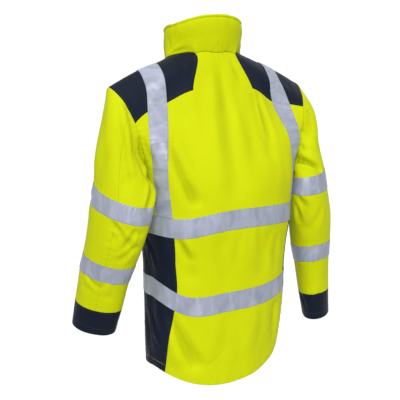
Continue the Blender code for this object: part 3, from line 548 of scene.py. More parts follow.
def body_names(side, half):
    """The functions that name the cells of one half's nets."""
    brace_in, brace_out = (mark(half.columns, COLUMN_SPANS, name) - half.panel
                           for name in ("brace_in", "brace_out"))
    low_bottom, low_top, high_bottom, high_top, yoke = (
        mark(half.back_rows, RING_SPANS + BACK_SPANS, name)
        for name in ("low_bottom", "low_top", "high_bottom", "high_top", "yoke"))
    chest = half.throat + mark(half.front_rows, FRONT_SPANS, "chest")
    split, last = (high_bottom + high_top) // 2, len(half.strap) - 1

    def band(row):
        if low_bottom <= row < low_top:
            return "band_lower"
        return "band_upper" if high_bottom <= row < high_top else ""

    def back(row, column):
        return "back", band(row)

    def front(row, column):
        return "front_" + side, band(last - half.throat - 1 - row)

    def strap(row, column):
        up = min(row, last - 1 - row)
        tape = "brace_" + side if brace_in <= column < brace_out and up >= high_top else band(up)
        if yoke <= row < chest:
            return "shoulder_patch_" + side, tape
        if column >= brace_in and up < split:
            return ("side_back_" if row < half.ridge else "side_front_") + side, tape
        return ("back" if row < half.ridge else "front_" + side), tape

    def flank(row, column):
        is_back = column < half.middle
        if row < split:
            return ("side_back_" if is_back else "side_front_") + side, band(row)
        return ("back" if is_back else "front_" + side), band(row)

    return back, strap, front, flank


def sleeve_names(side, angles, at):
    """The function that names the cells of one sleeve's net."""
    upper, upper_end, lower, lower_end, cuff = (
        mark(at, SLEEVE_SPANS, name)
        for name in ("upper_top", "upper_bottom", "lower_top", "lower_bottom", "cuff_top"))
    back = np.abs(angles - BACK_SLEEVE_SEAM).argmin()
    front = np.abs(angles - FRONT_SLEEVE_SEAM).argmin()

    def name(row, column):
        outer = column < back or column >= front
        piece = ("cuff_" if row >= cuff else "sleeve_outer_" if outer else "sleeve_under_") + side
        if upper <= row < upper_end:
            return piece, "sleeve_band_upper_" + side
        return piece, "sleeve_band_lower_" + side if lower <= row < lower_end else ""
    return name


def cleared_sleeve(side, sign, half):
    """One sleeve's net, kept clear of the body, and the angle of each column."""
    at, coarse_at = span_steps(SLEEVE_SPANS), span_steps(SLEEVE_SPANS, coarse=True)
    net, angles = sleeve_net(*half.armhole(), SLEEVES[side], at)
    # The moves that clear the body are found on a coarse net and spread over the fine one.
    rough = Half(sign, coarse=True)
    loop, bottom = rough.armhole()
    rough_net, rough_angles = sleeve_net(loop, bottom, SLEEVES[side], coarse_at)
    moves = smooth(coarse_at, clearing_moves(rough_net, loop, rough), at)
    wrapped = np.concatenate([moves, moves[:, :1]], axis=1).transpose(1, 0, 2)
    return net + smooth(np.append(rough_angles, 360), wrapped, angles).transpose(1, 0, 2), angles


def make_cloth():
    """The whole jacket as one net of cells, still without folds."""
    cloth = Cloth()
    sleeve_at, collar_at = span_steps(SLEEVE_SPANS), span_steps(COLLAR_SPANS)
    for side, sign in (("left", 1), ("right", -1)):
        mirror = sign < 0
        half = Half(sign)
        nets = (half.back, half.strap, half.front, half.side)
        for net, name in zip(nets, body_names(side, half)):
            cloth.add(net, name, "body", mirror)
        sleeve, angles = cleared_sleeve(side, sign, half)
        names = sleeve_names(side, angles, sleeve_at)
        cloth.add(sleeve, names, "sleeve_" + side, mirror, closed=True)
        collar = rolled(collar_net(half.neck(), collar_at))
        cloth.add(collar, lambda row, column: ("collar", ""), "collar", mirror)
        if not mirror:
            edge = np.concatenate([half.front[::-1, 0], collar[1:, -1]])
            strip = np.linspace(edge, edge * [-1, 1, 1], ZIP_COLUMNS).transpose(1, 0, 2)
    cloth.add(strip, lambda row, column: ("zip", ""), "zip")
    cloth.weld()
    return cloth


# ---------------------------------------------------------------- folds, creases and puckers

# Creases, by the part that they lie on, in millimetres: start, a point that the crease
# bends towards, end, half-width, depth. Depth below zero stands out.
CREASES = {
    "body": (
        # back, from the shoulders to the upper band
        ((1, 71, -11), (15, 112, -121), (28, 187, -353), 16, 5.9),
        ((27, 77, -32), (51, 124, -158), (64, 183, -331), 20, -3.1),
        ((-108, 91, -92), (-109, 118, -162), (-121, 142, -226), 8, 6.6),
        ((-35, 68, -6), (-47, 77, -37), (-61, 89, -72), 9, 4.3),
        ((56, 75, -36), (43, 79, -42), (31, 83, -49), 4, 2.3),
        ((178, 126, -205), (167, 150, -298), (130, 166, -371), 12, 9),
        ((155, 155, -300), (144, 161, -333), (121, 170, -374), 9, 3.9),
        ((-63, 106, -109), (-48, 151, -211), (-18, 187, -335), 22, 3.1),
        ((-140, 120, -215), (-152, 140, -290), (-141, 160, -366), 14, 3.5),
        # shoulder patches and the braces over them
        ((243, 28, -60), (238, 56, -87), (242, 80, -130), 7, -2.2),
        ((261, 31, -70), (257, 61, -102), (249, 82, -140), 6, 2.2),
        ((123, 36, -5), (111, 58, -17), (98, 70, -34), 7, 2),
        ((186, 30, -30), (191, 54, -57), (203, 66, -85), 8, -1.2),
        ((-234, 36, -58), (-240, 50, -74), (-233, 74, -104), 6, 2.4),
        ((-149, 36, -26), (-160, 53, -36), (-161, 72, -70), 8, 1.8),
        ((205, 54, -65), (188, 69, -82), (171, 77, -103), 6, 0.9),
        ((209, 63, -86), (188, 74, -102), (166, 85, -127), 6, 1),
        ((208, 72, -106), (197, 80, -124), (184, 90, -141), 6, -0.8),
        ((206, 84, -134), (197, 94, -151), (197, 111, -180), 6, 1),
        ((214, 117, -200), (207, 122, -219), (204, 124, -243), 6, 0.8),
        ((197, 125, -230), (189, 129, -224), (180, 130, -221), 4, 0.6),
        ((200, 126, -263), (191, 133, -256), (183, 135, -252), 4, 0.6),
        ((198, 128, -300), (189, 135, -291), (184, 137, -287), 4, 0.6),
        ((-150, 67, -54), (-159, 74, -89), (-177, 83, -123), 7, 1.3),
        ((-166, 71, -80), (-173, 79, -111), (-181, 88, -134), 6, -1),
        ((-184, 90, -138), (-178, 108, -169), (-170, 124, -197), 7, 1),
        # between the braces and the armholes
        ((246, 98, -190), (238, 112, -230), (221, 105, -272), 6, 3.4),
        ((224, 104, -215), (228, 108, -245), (214, 112, -290), 6, 2),
        ((231, 98, -290), (216, 104, -322), (199, 108, -350), 7, 2.6),
        ((-236, 98, -200), (-226, 108, -240), (-222, 104, -276), 6, 2.6),
        ((-225, 110, -300), (-212, 112, -335), (-206, 106, -372), 7, 3),
        # between the bands
        ((169, 141, -450), (154, 147, -480), (136, 155, -514), 9, 7),
        ((125, 172, -420), (112, 174, -469), (121, 166, -516), 14, 2.1),
        ((13, 190, -444), (23, 186, -491), (14, 183, -540), 13, 2.5),
        ((-54, 189, -419), (-44, 186, -465), (-65, 177, -516), 11, 2.8),
        ((-118, 172, -455), (-104, 170, -500), (-120, 160, -555), 12, 3.5),
        ((207, 44, -450), (203, 60, -487), (195, 79, -536), 6, -4.5),
        # below the lower band
        ((174, 115, -646), (152, 127, -719), (112, 142, -794), 12, 9.7),
        ((152, 133, -636), (126, 144, -701), (88, 156, -780), 17, -2.5),
        ((48, 172, -655), (41, 168, -733), (56, 160, -810), 17, 2.5),
        ((-68, 172, -636), (-74, 164, -710), (-48, 163, -780), 14, 3.1),
        ((-130, 150, -640), (-122, 150, -700), (-132, 140, -770), 12, 5.2),
        ((93, 159, -739), (71, 162, -762), (48, 163, -792), 4, 1.3),
        ((45, 166, -746), (73, 161, -770), (94, 152, -793), 4, 1),
        ((195, 38, -646), (191, 58, -692), (185, 82, -737), 6, -4.5),
        # fronts, finished plainly
        ((150, -70, -180), (118, -84, -250), (112, -86, -350), 16, 3.4),
        ((-156, -66, -175), (-140, -80, -260), (-118, -86, -340), 16, 3.2),
        ((205, -40, -220), (190, -62, -290), (176, -66, -360), 11, 3.6),
        ((-200, -42, -225), (-196, -56, -300), (-170, -70, -352), 11, 3.6),
        ((60, -88, -445), (72, -88, -480), (58, -86, -510), 14, 2),
        ((-128, -78, -440), (-118, -80, -475), (-132, -74, -512), 13, 2.6),
        ((140, -68, -580), (128, -70, -660), (134, -62, -735), 15, 3.4),
        ((-56, -84, -590), (-64, -82, -670), (-50, -80, -742), 15, 2.6),
        # sides
        ((204, 28, -470), (198, 36, -520), (201, 52, -560), 9, 2.6),
        ((196, 20, -640), (194, 30, -700), (184, 40, -762), 10, 3.6),
        ((-204, 40, -462), (-200, 30, -510), (-199, 50, -555), 9, 3),
        ((-196, 30, -630), (-192, 40, -690), (-186, 30, -745), 10, 3.6),
    ),
    "sleeve_left": (
        ((295, 54, -109), (311, 89, -178), (310, 113, -262), 12, 3.4),
        ((268, 66, -112), (287, 105, -178), (281, 127, -262), 10, 3.2),
        ((282, 65, -114), (295, 99, -174), (290, 121, -230), 8, -2.6),
        ((254, 99, -210), (243, 96, -240), (228, 89, -272), 8, 3),
        ((258, 120, -241), (252, 126, -270), (236, 126, -296), 8, 4),
        ((264, 152, -376), (234, 136, -330), (218, 72, -248), 8.5, 12.5),
        ((343, 86, -181), (354, 80, -240), (349, 56, -297), 14, 3),
        ((298, 125, -280), (304, 131, -310), (313, 131, -340), 9, 2.2),
        ((338, 110, -397), (321, 123, -424), (299, 127, -456), 6, 5),
        ((284, 143, -414), (299, 129, -450), (316, 111, -482), 7, 5),
        ((282, 125, -462), (301, 115, -486), (318, 100, -505), 7, 4.7),
        ((300, 132, -398), (286, 142, -408), (262, 142, -404), 6, 2.8),
        ((365, 20, -538), (354, 34, -561), (334, 52, -578), 6, 4.5),
        ((320, 83, -535), (330, 63, -561), (341, 45, -581), 7, 2.5),
        ((362, 40, -330), (356, 20, -352), (338, -2, -366), 10, 3),
        ((255, 30, -330), (250, 60, -365), (256, 100, -380), 10, 5),
        ((300, -10, -400), (320, -4, -430), (345, 10, -440), 10, 5),
        ((285, -20, -455), (305, -24, -480), (335, -16, -492), 10, 4.2),
        ((310, -30, -640), (320, -50, -652), (345, -60, -655), 8, 2.5),
    ),
    "sleeve_right": (
        ((-290, 136, -304), (-252, 134, -289), (-214, 88, -260), 8, 13),
        ((-242, 90, -230), (-249, 109, -246), (-262, 122, -252), 6, 4.2),
        ((-275, 95, -140), (-279, 104, -179), (-271, 110, -219), 12, 2.5),
        ((-311, 109, -278), (-302, 114, -262), (-292, 112, -245), 6, 1.8),
        ((-320, 90, -160), (-334, 104, -215), (-338, 110, -270), 13, 3),
        ((-221, 113, -363), (-229, 128, -379), (-246, 135, -404), 7, 5.7),
        ((-287, 145, -390), (-271, 141, -430), (-252, 113, -482), 10, 3.5),
        ((-225, 110, -391), (-233, 111, -414), (-240, 108, -445), 6, 5.7),
        ((-287, 119, -505), (-273, 106, -536), (-267, 78, -562), 8, 3.2),
        ((-300, 92, -566), (-318, 90, -596), (-340, 78, -612), 9, 2.5),
        ((-289, 42, -650), (-296, 56, -674), (-305, 55, -701), 6, 3.7),
        ((-307, 76, -689), (-316, 84, -666), (-326, 91, -645), 6, 2.2),
        ((-300, -10, -390), (-322, -2, -420), (-346, 10, -430), 10, 5),
        ((-296, -6, -450), (-318, -8, -476), (-345, 4, -486), 10, 4.2),
    ),
    "collar": (
        # pulled towards its foot on both sides
        ((110, 7, 18), (106, 19, 35), (99, 36, 51), 5, 2.2),
        ((108, 8, 15), (100, 29, 27), (88, 43, 30), 4.5, -1.6),
        ((107, 8, 12), (93, 28, 19), (73, 49, 22), 4.5, 1.8),
        ((110, -4, 52), (114, -2, 36), (114, 2, 14), 7, 2.2),
        ((-106, -56, 36), (-100, -52, 14), (-90, -50, -8), 8, 2),
        ((-112, -10, 40), (-112, 4, 24), (-104, 20, 12), 7, 2.2),
        ((98, -56, 36), (96, -52, 14), (88, -50, -8), 8, 2),
    ),
}
CREASE_STEPS, CREASE_REACH = 24, 4       # straight steps of a crease, and half-widths that it reaches
CREASE_TAPER = 0.7                       # the lower, the blunter its ends
START_WIDTH, WIDTH_GAIN = 0.7, 0.6       # half-widths at its start, and what it gains to its end
LIP, LIP_PLACE, LIP_WIDTH = 0.32, 2.1, 0.8   # the lip beside it: share of the depth, half-widths

# Puckers of the cloth along its seams: height, reach from the seam, mean length of one
PUCKERS = {"armhole": (0.0009, 0.012, 0.017), "panel": (0.0008, 0.010, 0.016),
           "tape": (0.0007, 0.009, 0.013), "hem": (0.0010, 0.016, 0.034)}
# Factor on their height, how soon they rise beside the seam, and the reaches after which they end
PUCKER_GAIN, PUCKER_RISE, PUCKER_REACH = 1.9, 0.0035, 4
# How far their pace and their strength wander and over what length, with the noise's step from seam
# to seam and its row
PACE_DRIFT, PACE_SIZE, PACE_STEP, PACE_ROW = 0.9, 0.045, 3.7, 0.5
STRENGTH_DRIFT, STRENGTH_SIZE, STRENGTH_STEP, STRENGTH_ROW = 0.75, 0.060, 1.9, 8.5
STRENGTH, LEAST_STRENGTH = 0.55, 0.1
END_LENGTH, END_STRENGTH = 0.012, 0.2    # they fade towards the end of their seam
# Unevenness of the whole cloth: size across, size up and down, height
UNEVEN = ((0.110, 0.260, 0.0026), (0.042, 0.110, 0.0009), (0.015, 0.030, 0.00022))
# Wrinkles of the tapes: size along the tape, size across it, height
TAPE_WRINKLES = ((0.020, 0.060, 0.00070), (0.0080, 0.030, 0.00018))
BRACE_SLANT, BRACE_DEPTH = 0.55, 0.4     # how a brace's wrinkles lean with x, and run on in y
FIRST_TAPE_SEED, SEED_STEP = 4, (7.3, 3.1, 5.7)
FRONT_FROM, ZIP_STILL = -0.02, 0.02      # in front of this y, heights fade this near the zip


def metres(row):
    """A row's places and sizes, which are given in millimetres."""
    return [np.array(value) / 1000 for value in row]


def fold_depth(points, start, end, width, depth):
    """How deep a straight fold with round ends presses each point in."""
    run = end - start
    share = np.clip((points - start) @ run / (run @ run), 0, 1)
    away = np.linalg.norm(points - start - share[:, None] * run, axis=1)
    return depth * np.exp(-(away / width) ** 2)


def crease_height(points, start, bend, end, width, depth):
    """Height of a crease with tapered ends and a raised lip on both sides, and how deep it is."""
    t = np.linspace(0, 1, CREASE_STEPS)[:, None]
    line = (1 - t) ** 2 * start + 2 * t * (1 - t) * bend + t * t * end
    reach = np.linalg.norm(end - start) + CREASE_REACH * width
    near = np.linalg.norm(points - line.mean(axis=0), axis=1) < reach
    height, valley = np.zeros(len(points)), np.zeros(len(points))
    chosen = points[near]
    best, share = np.full(len(chosen), np.inf), np.zeros(len(chosen))
    for step in range(CREASE_STEPS - 1):
        run = line[step + 1] - line[step]
        along = np.clip((chosen - line[step]) @ run / (run @ run), 0, 1)
        away = np.linalg.norm(chosen - line[step] - along[:, None] * run, axis=1)
        closer = away < best
        best[closer] = away[closer]
        share[closer] = (step + along[closer]) / (CREASE_STEPS - 1)
    taper = np.sin(math.pi * np.clip(share, 0, 1)) ** CREASE_TAPER
    wide = width * (START_WIDTH + WIDTH_GAIN * share)
    deep = np.exp(-(best / wide) ** 2)
    lip = np.exp(-((best - LIP_PLACE * wide) / (LIP_WIDTH * wide)) ** 2)
    height[near] = depth * taper * (LIP * lip - deep)
    valley[near] = max(depth, 0) * taper * deep
    return height, valley


def grain(points, scale, seed):
    """Smooth noise between -1 and 1, with its own size along each axis."""
    placed = points / np.array(scale) + seed * np.array(SEED_STEP)
    return np.array([noise.noise(place) for place in placed.tolist()])


def edge_kinds(cloth):
    """The kind of seam at each edge where cells of different pieces or tapes meet, or cells end."""
    cells = cloth.cells
    start, end = cells.reshape(-1), np.roll(cells, -1, axis=1).reshape(-1)
    cell = np.repeat(np.arange(len(cells)), 4)
    low, high = np.minimum(start, end), np.maximum(start, end)
    order = np.lexsort((high, low))
    low, high, cell = low[order], high[order], cell[order]
    twin = (low[1:] == low[:-1]) & (high[1:] == high[:-1])
    kinds = {}
    paired = np.zeros(len(low), bool)
    for at in np.flatnonzero(twin):
        paired[at] = paired[at + 1] = True
        one, other = cell[at], cell[at + 1]
        pieces = {cloth.piece[one], cloth.piece[other]}
        if len(pieces) == 2:
            sleeves = [piece.startswith(("sleeve", "cuff")) for piece in pieces]
            kinds[low[at], high[at]] = "armhole" if sum(sleeves) == 1 else "panel"
        elif cloth.tape[one] != cloth.tape[other]:
            kinds[low[at], high[at]] = "tape"
    for at in np.flatnonzero(~paired):
        kinds[low[at], high[at]] = "hem"
    return kinds


def seam_chains(kinds):
    """Walks the seams: the kind and the points of each stretch between two of their ends."""
    nexts = {}
    for (one, other), kind in kinds.items():
        nexts.setdefault(one, []).append((other, kind))
        nexts.setdefault(other, []).append((one, kind))
    found, used = [], set()
    ends = [at for at in nexts if len(nexts[at]) != 2]
    for first in sorted(ends) + sorted(nexts):
        for second, kind in nexts[first]:
            if (first, second) in used:
                continue
            chain, here, after = [first], first, second
            while True:
                used.update(((here, after), (after, here)))
                chain.append(after)
                onward = [at for at, other_kind in nexts[after] if at != here and other_kind == kind]
                if len(nexts[after]) != 2 or not onward or (after, onward[0]) in used:
                    break
                here, after = after, onward[0]
            found.append((kind, chain))
    return found


def pucker_heights(points, chains):
    """Ripples square to the nearest seam, dying away from it."""
    tree, known = KDTree(sum(len(chain) for _, chain in chains)), []
    for number, (kind, chain) in enumerate(chains):
        along = lengths(points[chain][:, None])
        for at, length in zip(chain, along):
            tree.insert(points[at], len(known))
            known.append((kind, number, length, along[-1]))
    tree.balance()
    height = np.zeros(len(points))
    for at, place in enumerate(points.tolist()):
        _, index, away = tree.find(place)
        kind, number, length, whole = known[index]
        tall, reach, size = PUCKERS[kind]
        if away > PUCKER_REACH * reach:
            continue
        # The ripple's own pace wanders along the seam, and so does its height.
        drift = noise.noise((length / PACE_SIZE, number * PACE_STEP, PACE_ROW))
        wave = math.sin(2 * math.pi * (length / size + PACE_DRIFT * drift))
        change = noise.noise((length / STRENGTH_SIZE, number * STRENGTH_STEP, STRENGTH_ROW))
        strength = STRENGTH + STRENGTH_DRIFT * change
        swell = min(1.0, min(length, whole - length) / END_LENGTH + END_STRENGTH)
        fade = (1 - math.exp(-away / PUCKER_RISE)) * math.exp(-away / reach)
        height[at] = tall * max(strength, LEAST_STRENGTH) * swell * wave * fade * PUCKER_GAIN
    return height


def shape_cloth(cloth):
    """Presses the folds, creases, puckers and unevenness into the cloth."""
    pressed = sum(fold_depth(cloth.points, *metres(fold)) for _, *fold in FOLDS)
    cloth.points = cloth.points - cloth.base_normal * pressed[:, None]
    points, normal = cloth.points, cloth.normals()
    height, valley = np.zeros(len(points)), np.zeros(len(points))
    for part, rows in CREASES.items():
        for row in rows:
            raised, deep = crease_height(points, *metres(row))
            height += raised * cloth.in_region[part]
            valley += deep * cloth.in_region[part]
    height += pucker_heights(points, seam_chains(edge_kinds(cloth)))
    for seed, (across, up, tall) in enumerate(UNEVEN, 1):
        height += tall * grain(points, (across, across, up), seed)
    height += tape_wrinkles(cloth)
    still = np.zeros(len(points), bool)
    still[cloth.cells[cloth.piece == "zip"]] = True
    from_zip = np.clip((np.abs(points[:, 0]) - ZIP_HALF_WIDTH) / ZIP_STILL, 0, 1)
    height *= np.where(points[:, 1] < FRONT_FROM, from_zip, 1) * ~still
    cloth.points = points + normal * height[:, None]
    cloth.normal = cloth.normals()
    # the creases' depth, kept for the painted shade in creases
    cloth.valley = valley


def tape_wrinkles(cloth):
    """Fine wrinkles across each tape, in the tape and in the cloth under it."""
    height = np.zeros(len(cloth.points))
    for name in sorted(set(cloth.tape) - {""}):
        used = np.unique(cloth.cells[cloth.tape == name])
        x, y, z = cloth.points[used].T
        is_brace = name.startswith("brace")
        placed = [z + BRACE_SLANT * np.abs(x), x, y * BRACE_DEPTH] if is_brace else [x, z, y]
        for seed, (along, across, tall) in enumerate(TAPE_WRINKLES, FIRST_TAPE_SEED):
            scale = (along, across, across if is_brace else along)
            height[used] += tall * grain(np.stack(placed, axis=1), scale, seed)
    return height


# ---------------------------------------------------------------- shells

RIM_STEPS = 5                            # samples of each edge of a rim
VALLEY_UNIT = 0.004                      # the depth of a crease that its attribute counts as 1
CORNER_COSINE = math.cos(math.radians(40))
SHARP_ANGLE = 60.0


def rim_edges(cells):
    """Cell and corner numbers of the edges that only one cell has."""
    start, end = cells.astype(np.int64), np.roll(cells, -1, axis=1).astype(np.int64)
    size = cells.max() + 1
    return np.argwhere(~np.isin(start * size + end, end * size + start))


def seam_inset(points, normal, start, end):
    """Moves that keep the rim's points SEAM_GAP inside its edges."""
    run = points[end] - points[start]
    total = np.zeros_like(points)
    for at in (start, end):
        np.add.at(total, at, unit(np.cross(normal[at], run)))
    squared = (total ** 2).sum(axis=1)
    return total * (SEAM_GAP * 2 / np.maximum(squared, 1.0))[:, None]


def rim_tree(points, start, end):
    """A tree of places on the rim, whose edges are cut into short steps."""
    shares = np.arange(RIM_STEPS) / RIM_STEPS
    samples = np.concatenate([points[start] * (1 - share) + points[end] * share for share in shares])
    tree = KDTree(len(samples))
    for number, sample in enumerate(samples.tolist()):
        tree.insert(sample, number)
    tree.balance()
    return tree


def rim_distance(points, start, end):
    """How far each point is from the rim."""
    tree = rim_tree(points, start, end)
    return np.array([tree.find(point)[2] for point in points.tolist()])


class Shell:
    """A closed thin shell on some of the cloth's cells, and what is needed to sew on it.

    Its faces lie outside and inside above the cloth's own surface. The outer one drops towards the
    rim by roll. faint is added to the rim's distance, so that the painted seam shade hardly shows.
    """

    def __init__(self, cloth, chosen, outside, inside, roll, faint=0.0):
        cells = cloth.cells[chosen]
        self.used, local = np.unique(cells, return_inverse=True)
        self.local = local = local.reshape(cells.shape)
        self.points, self.normal = cloth.points[self.used], cloth.normal[self.used]
        self.rim = rim_edges(local)
        self.start = start = local[self.rim[:, 0], self.rim[:, 1]]
        self.end = end = local[self.rim[:, 0], (self.rim[:, 1] + 1) % 4]
        away = rim_distance(self.points, start, end)
        placed = self.points + seam_inset(self.points, self.normal, start, end)
        drop = np.interp(away, *zip(*roll))
        self.outer = placed + self.normal * (outside - drop)[:, None]
        self.inner = placed + self.normal * inside
        self.flat, self.taped = cloth.flat[chosen], cloth.tape[chosen] != ""
        self.valley, self.from_rim = cloth.valley[self.used], away + faint

    def rim_chains(self, kinds):
        """The rim's runs of one kind of seam with no sharp corner: the kind and the points of each."""
        after = dict(zip(self.start.tolist(), self.end.tolist()))
        before = {other: one for one, other in after.items()}
        kind_at = {}
        for one, other in after.items():
            pair = self.used[one], self.used[other]
            kind_at[one] = kinds.get((min(pair), max(pair)), "")

        def goes_on(one):
            """Whether the run that comes to this point also leaves it."""
            if one not in before or one not in after or kind_at[before[one]] != kind_at[one]:
                return False
            came = self.points[one] - self.points[before[one]]
            left = self.points[after[one]] - self.points[one]
            return came @ left > CORNER_COSINE * np.linalg.norm(came) * np.linalg.norm(left)

        chains, used = [], set()
        for first in sorted(after, key=lambda one: (goes_on(one), one)):
            if first in used:
                continue
            chain = [first]
            here = first
            while here in after and here not in used and (here == first or goes_on(here)):
                used.add(here)
                here = after[here]
                chain.append(here)
            chains.append((kind_at[first], chain))
        return chains

    def mesh(self, name):
        local, count = self.local, len(self.points)
        rim = np.stack([self.end, self.start, self.start + count, self.end + count], axis=1)
        faces = np.concatenate([local, local[:, ::-1] + count, rim])
        cell, corner = self.rim.T
        at_start, at_end = self.flat[cell, corner], self.flat[cell, (corner + 1) % 4]
        rim_flat = np.stack([at_end, at_start, at_start, at_end], axis=1)
        flat = np.concatenate([self.flat, self.flat[:, ::-1], rim_flat])
        made = face_mesh(name, np.concatenate([self.outer, self.inner]), faces)
        made.uv_layers.new(name="flat").data.foreach_set("uv", flat.reshape(-1).astype(np.float32))
        # valley sets the painted shade in creases, rim the painted shade beside seams
        attribute(made, "valley", np.tile(self.valley, 2) / VALLEY_UNIT)
        attribute(made, "rim", np.tile(self.from_rim, 2))
        return made


def face_mesh(name, points, faces):
    """A smooth mesh of faces that all have the same number of corners."""
    made = bpy.data.meshes.new(name)
    size = faces.shape[1]
    made.vertices.add(len(points))
    made.vertices.foreach_set("co", points.reshape(-1).astype(np.float32))
    made.loops.add(faces.size)
    made.loops.foreach_set("vertex_index", faces.reshape(-1).astype(np.int32))
    made.polygons.add(len(faces))
    made.polygons.foreach_set("loop_start", (np.arange(len(faces)) * size).astype(np.int32))
    made.update(calc_edges=True)
    made.shade_smooth()
    made.set_sharp_from_angle(angle=math.radians(SHARP_ANGLE))
    return made


def attribute(mesh, name, values):
    made = mesh.attributes.new(name, "FLOAT", "POINT")
    made.data.foreach_set("value", values.astype(np.float32))


def copies_mesh(name, shapes, faces):
    """Copies of one small shape as a single mesh: the points of each copy, and the shape's faces."""
    count, size, _ = shapes.shape
    every = np.array(faces) + size * np.arange(count)[:, None, None]
    return face_mesh(name, shapes.reshape(-1, 3), every.reshape(-1, len(faces[0])))


# ---------------------------------------------------------------- materials

# The darker yellows and the navy's darkest colour are painted shade, laid in creases and beside seams. The
# pale colours give random patches and a painted highlight on the weave's crests.
YELLOW, YELLOW_PALE = (0.57, 0.64, 0.0005, 1), (0.62, 0.69, 0.004, 1)
YELLOW_PAINTED_SHADE, YELLOW_SHADE = (0.40, 0.45, 0.0005, 1), (0.17, 0.12, 0.0004, 1)
NAVY, NAVY_PALE = (0.0045, 0.0080, 0.0210, 1), (0.009, 0.014, 0.031, 1)
NAVY_PAINTED_SHADE = (0.001, 0.002, 0.006, 1)
# The tape's pale and dark colours are painted highlight and painted shade in soft bars, standing in for
# the film's angle-dependent glow. The dark one also colours random specks.
TAPE_COLOUR, TAPE_PAINTED_HIGHLIGHT = (0.39, 0.42, 0.52, 1), (0.53, 0.56, 0.68, 1)
TAPE_PAINTED_SHADE_AND_SPECKS = (0.24, 0.26, 0.34, 1)
NICKEL, NICKEL_WORN = (0.62, 0.61, 0.60, 1), (0.36, 0.35, 0.35, 1)
CLOTH_THREADS, TAPE_RIBS = (0.0009, 0.0011), (0.0011, 0.0011)   # widths across and along
PATCHES, FIBRES, SPECKS, PLIES, WEAR = 7.0, 900.0, 600.0, 1500.0, 240.0   # noise cells in a metre
THREADS = {"hi_vis_cloth": (0.50, 0.56, 0.010, 1), "navy_cloth": (0.012, 0.017, 0.032, 1),
           "reflective_tape": (0.30, 0.31, 0.37, 1)}
THREAD_LIGHT = 1.5                                      # how much brighter a thread's fibres are
BRUSHING = (2600.0, 2600.0, 160.0)                      # the same along each axis
# Crease depths at which the painted shade, then the darker painted shade, come in
PAINTED_SHADE_FROM, SHADE_FROM = (0.5, 1.6), (2.3, 3.1)          # depths of creases, in VALLEY_UNIT
# Widths of the painted shade beside seams, on the cloth and on the tapes
CLOTH_SEAM_SHADE, TAPE_SEAM_SHADE = 0.0016, 0.0020                    # how wide the darker cloth at a seam is
# Size along and across the tape of the bars of painted light and shade
PAINTED_LIGHT_BARS, BRACE_TURN = (0.024, 0.060), math.radians(62)    # size along and across the tape


def shader_material(name, roughness, metallic=0.0, **sockets):
    """A material, its node tree and its Principled shader with constant sockets set."""
    made = bpy.data.materials.new(name)
    made.use_nodes = True
    tree = made.node_tree
    shader = tree.nodes["Principled BSDF"]
    shader.inputs["Roughness"].default_value = roughness
    shader.inputs["Metallic"].default_value = metallic
    for socket, value in sockets.items():
        shader.inputs[socket.replace("_", " ")].default_value = value
    return made, tree, shader


def finish(tree, shader, colour, roughness, relief, strength, depth):
    """Links the colour, the roughness unless it is None, and a relief of this depth in metres."""
    bump = node(tree, "Bump", {"Height": relief, "Strength": strength, "Distance": depth})
    for name, socket in (("Base Color", colour), ("Roughness", roughness), ("Normal", bump.outputs[0])):
        if socket:
            tree.links.new(socket, shader.inputs[name])


def node(tree, kind, inputs=(), **settings):
    """A new node with its settings, and its inputs linked to sockets or set to values."""
    made = tree.nodes.new("ShaderNode" + kind)
    for setting, value in settings.items():
        setattr(made, setting, value)
    for socket, value in dict(inputs).items():
        if isinstance(value, bpy.types.NodeSocket):
            tree.links.new(value, made.inputs[socket])
        else:
            made.inputs[socket].default_value = value
    return made


def object_place(tree):
    return node(tree, "TexCoord").outputs["Object"]


def stored(tree, name):
    return node(tree, "Attribute", attribute_name=name).outputs["Fac"]


def maths(tree, operation, first, second=0.0):
    return node(tree, "Math", {0: first, 1: second}, operation=operation).outputs[0]


def noise_of(tree, place, scale, detail=2.0, bent=0.0):
    inputs = {"Vector": place, "Scale": scale, "Detail": detail, "Roughness": 0.55, "Distortion": bent}
    return node(tree, "TexNoise", inputs).outputs["Fac"]


def mixed(tree, share, first, second):
    inputs = {"Factor": share, 6: first, 7: second}
    return node(tree, "Mix", inputs, data_type="RGBA").outputs[2]


def ranged(tree, value, taken, given=(0.0, 1.0)):
    """The value with the range taken spread over the range given, and held at its ends."""
    inputs = {"Value": value, "From Min": taken[0], "From Max": taken[1],
              "To Min": given[0], "To Max": given[1]}
    return node(tree, "MapRange", inputs).outputs["Result"]


def weave(tree, across, along):
    """Height of a plain weave with yarns of these widths, from the flat cloth's own place."""
    flat = node(tree, "UVMap", uv_map="flat").outputs["UV"]
    parts = node(tree, "SeparateXYZ", {0: flat}).outputs
    warp = maths(tree, "SINE", maths(tree, "MULTIPLY", parts["X"], math.pi / across))
    weft = maths(tree, "SINE", maths(tree, "MULTIPLY", parts["Y"], math.pi / along))
    return maths(tree, "MULTIPLY", warp, weft), flat


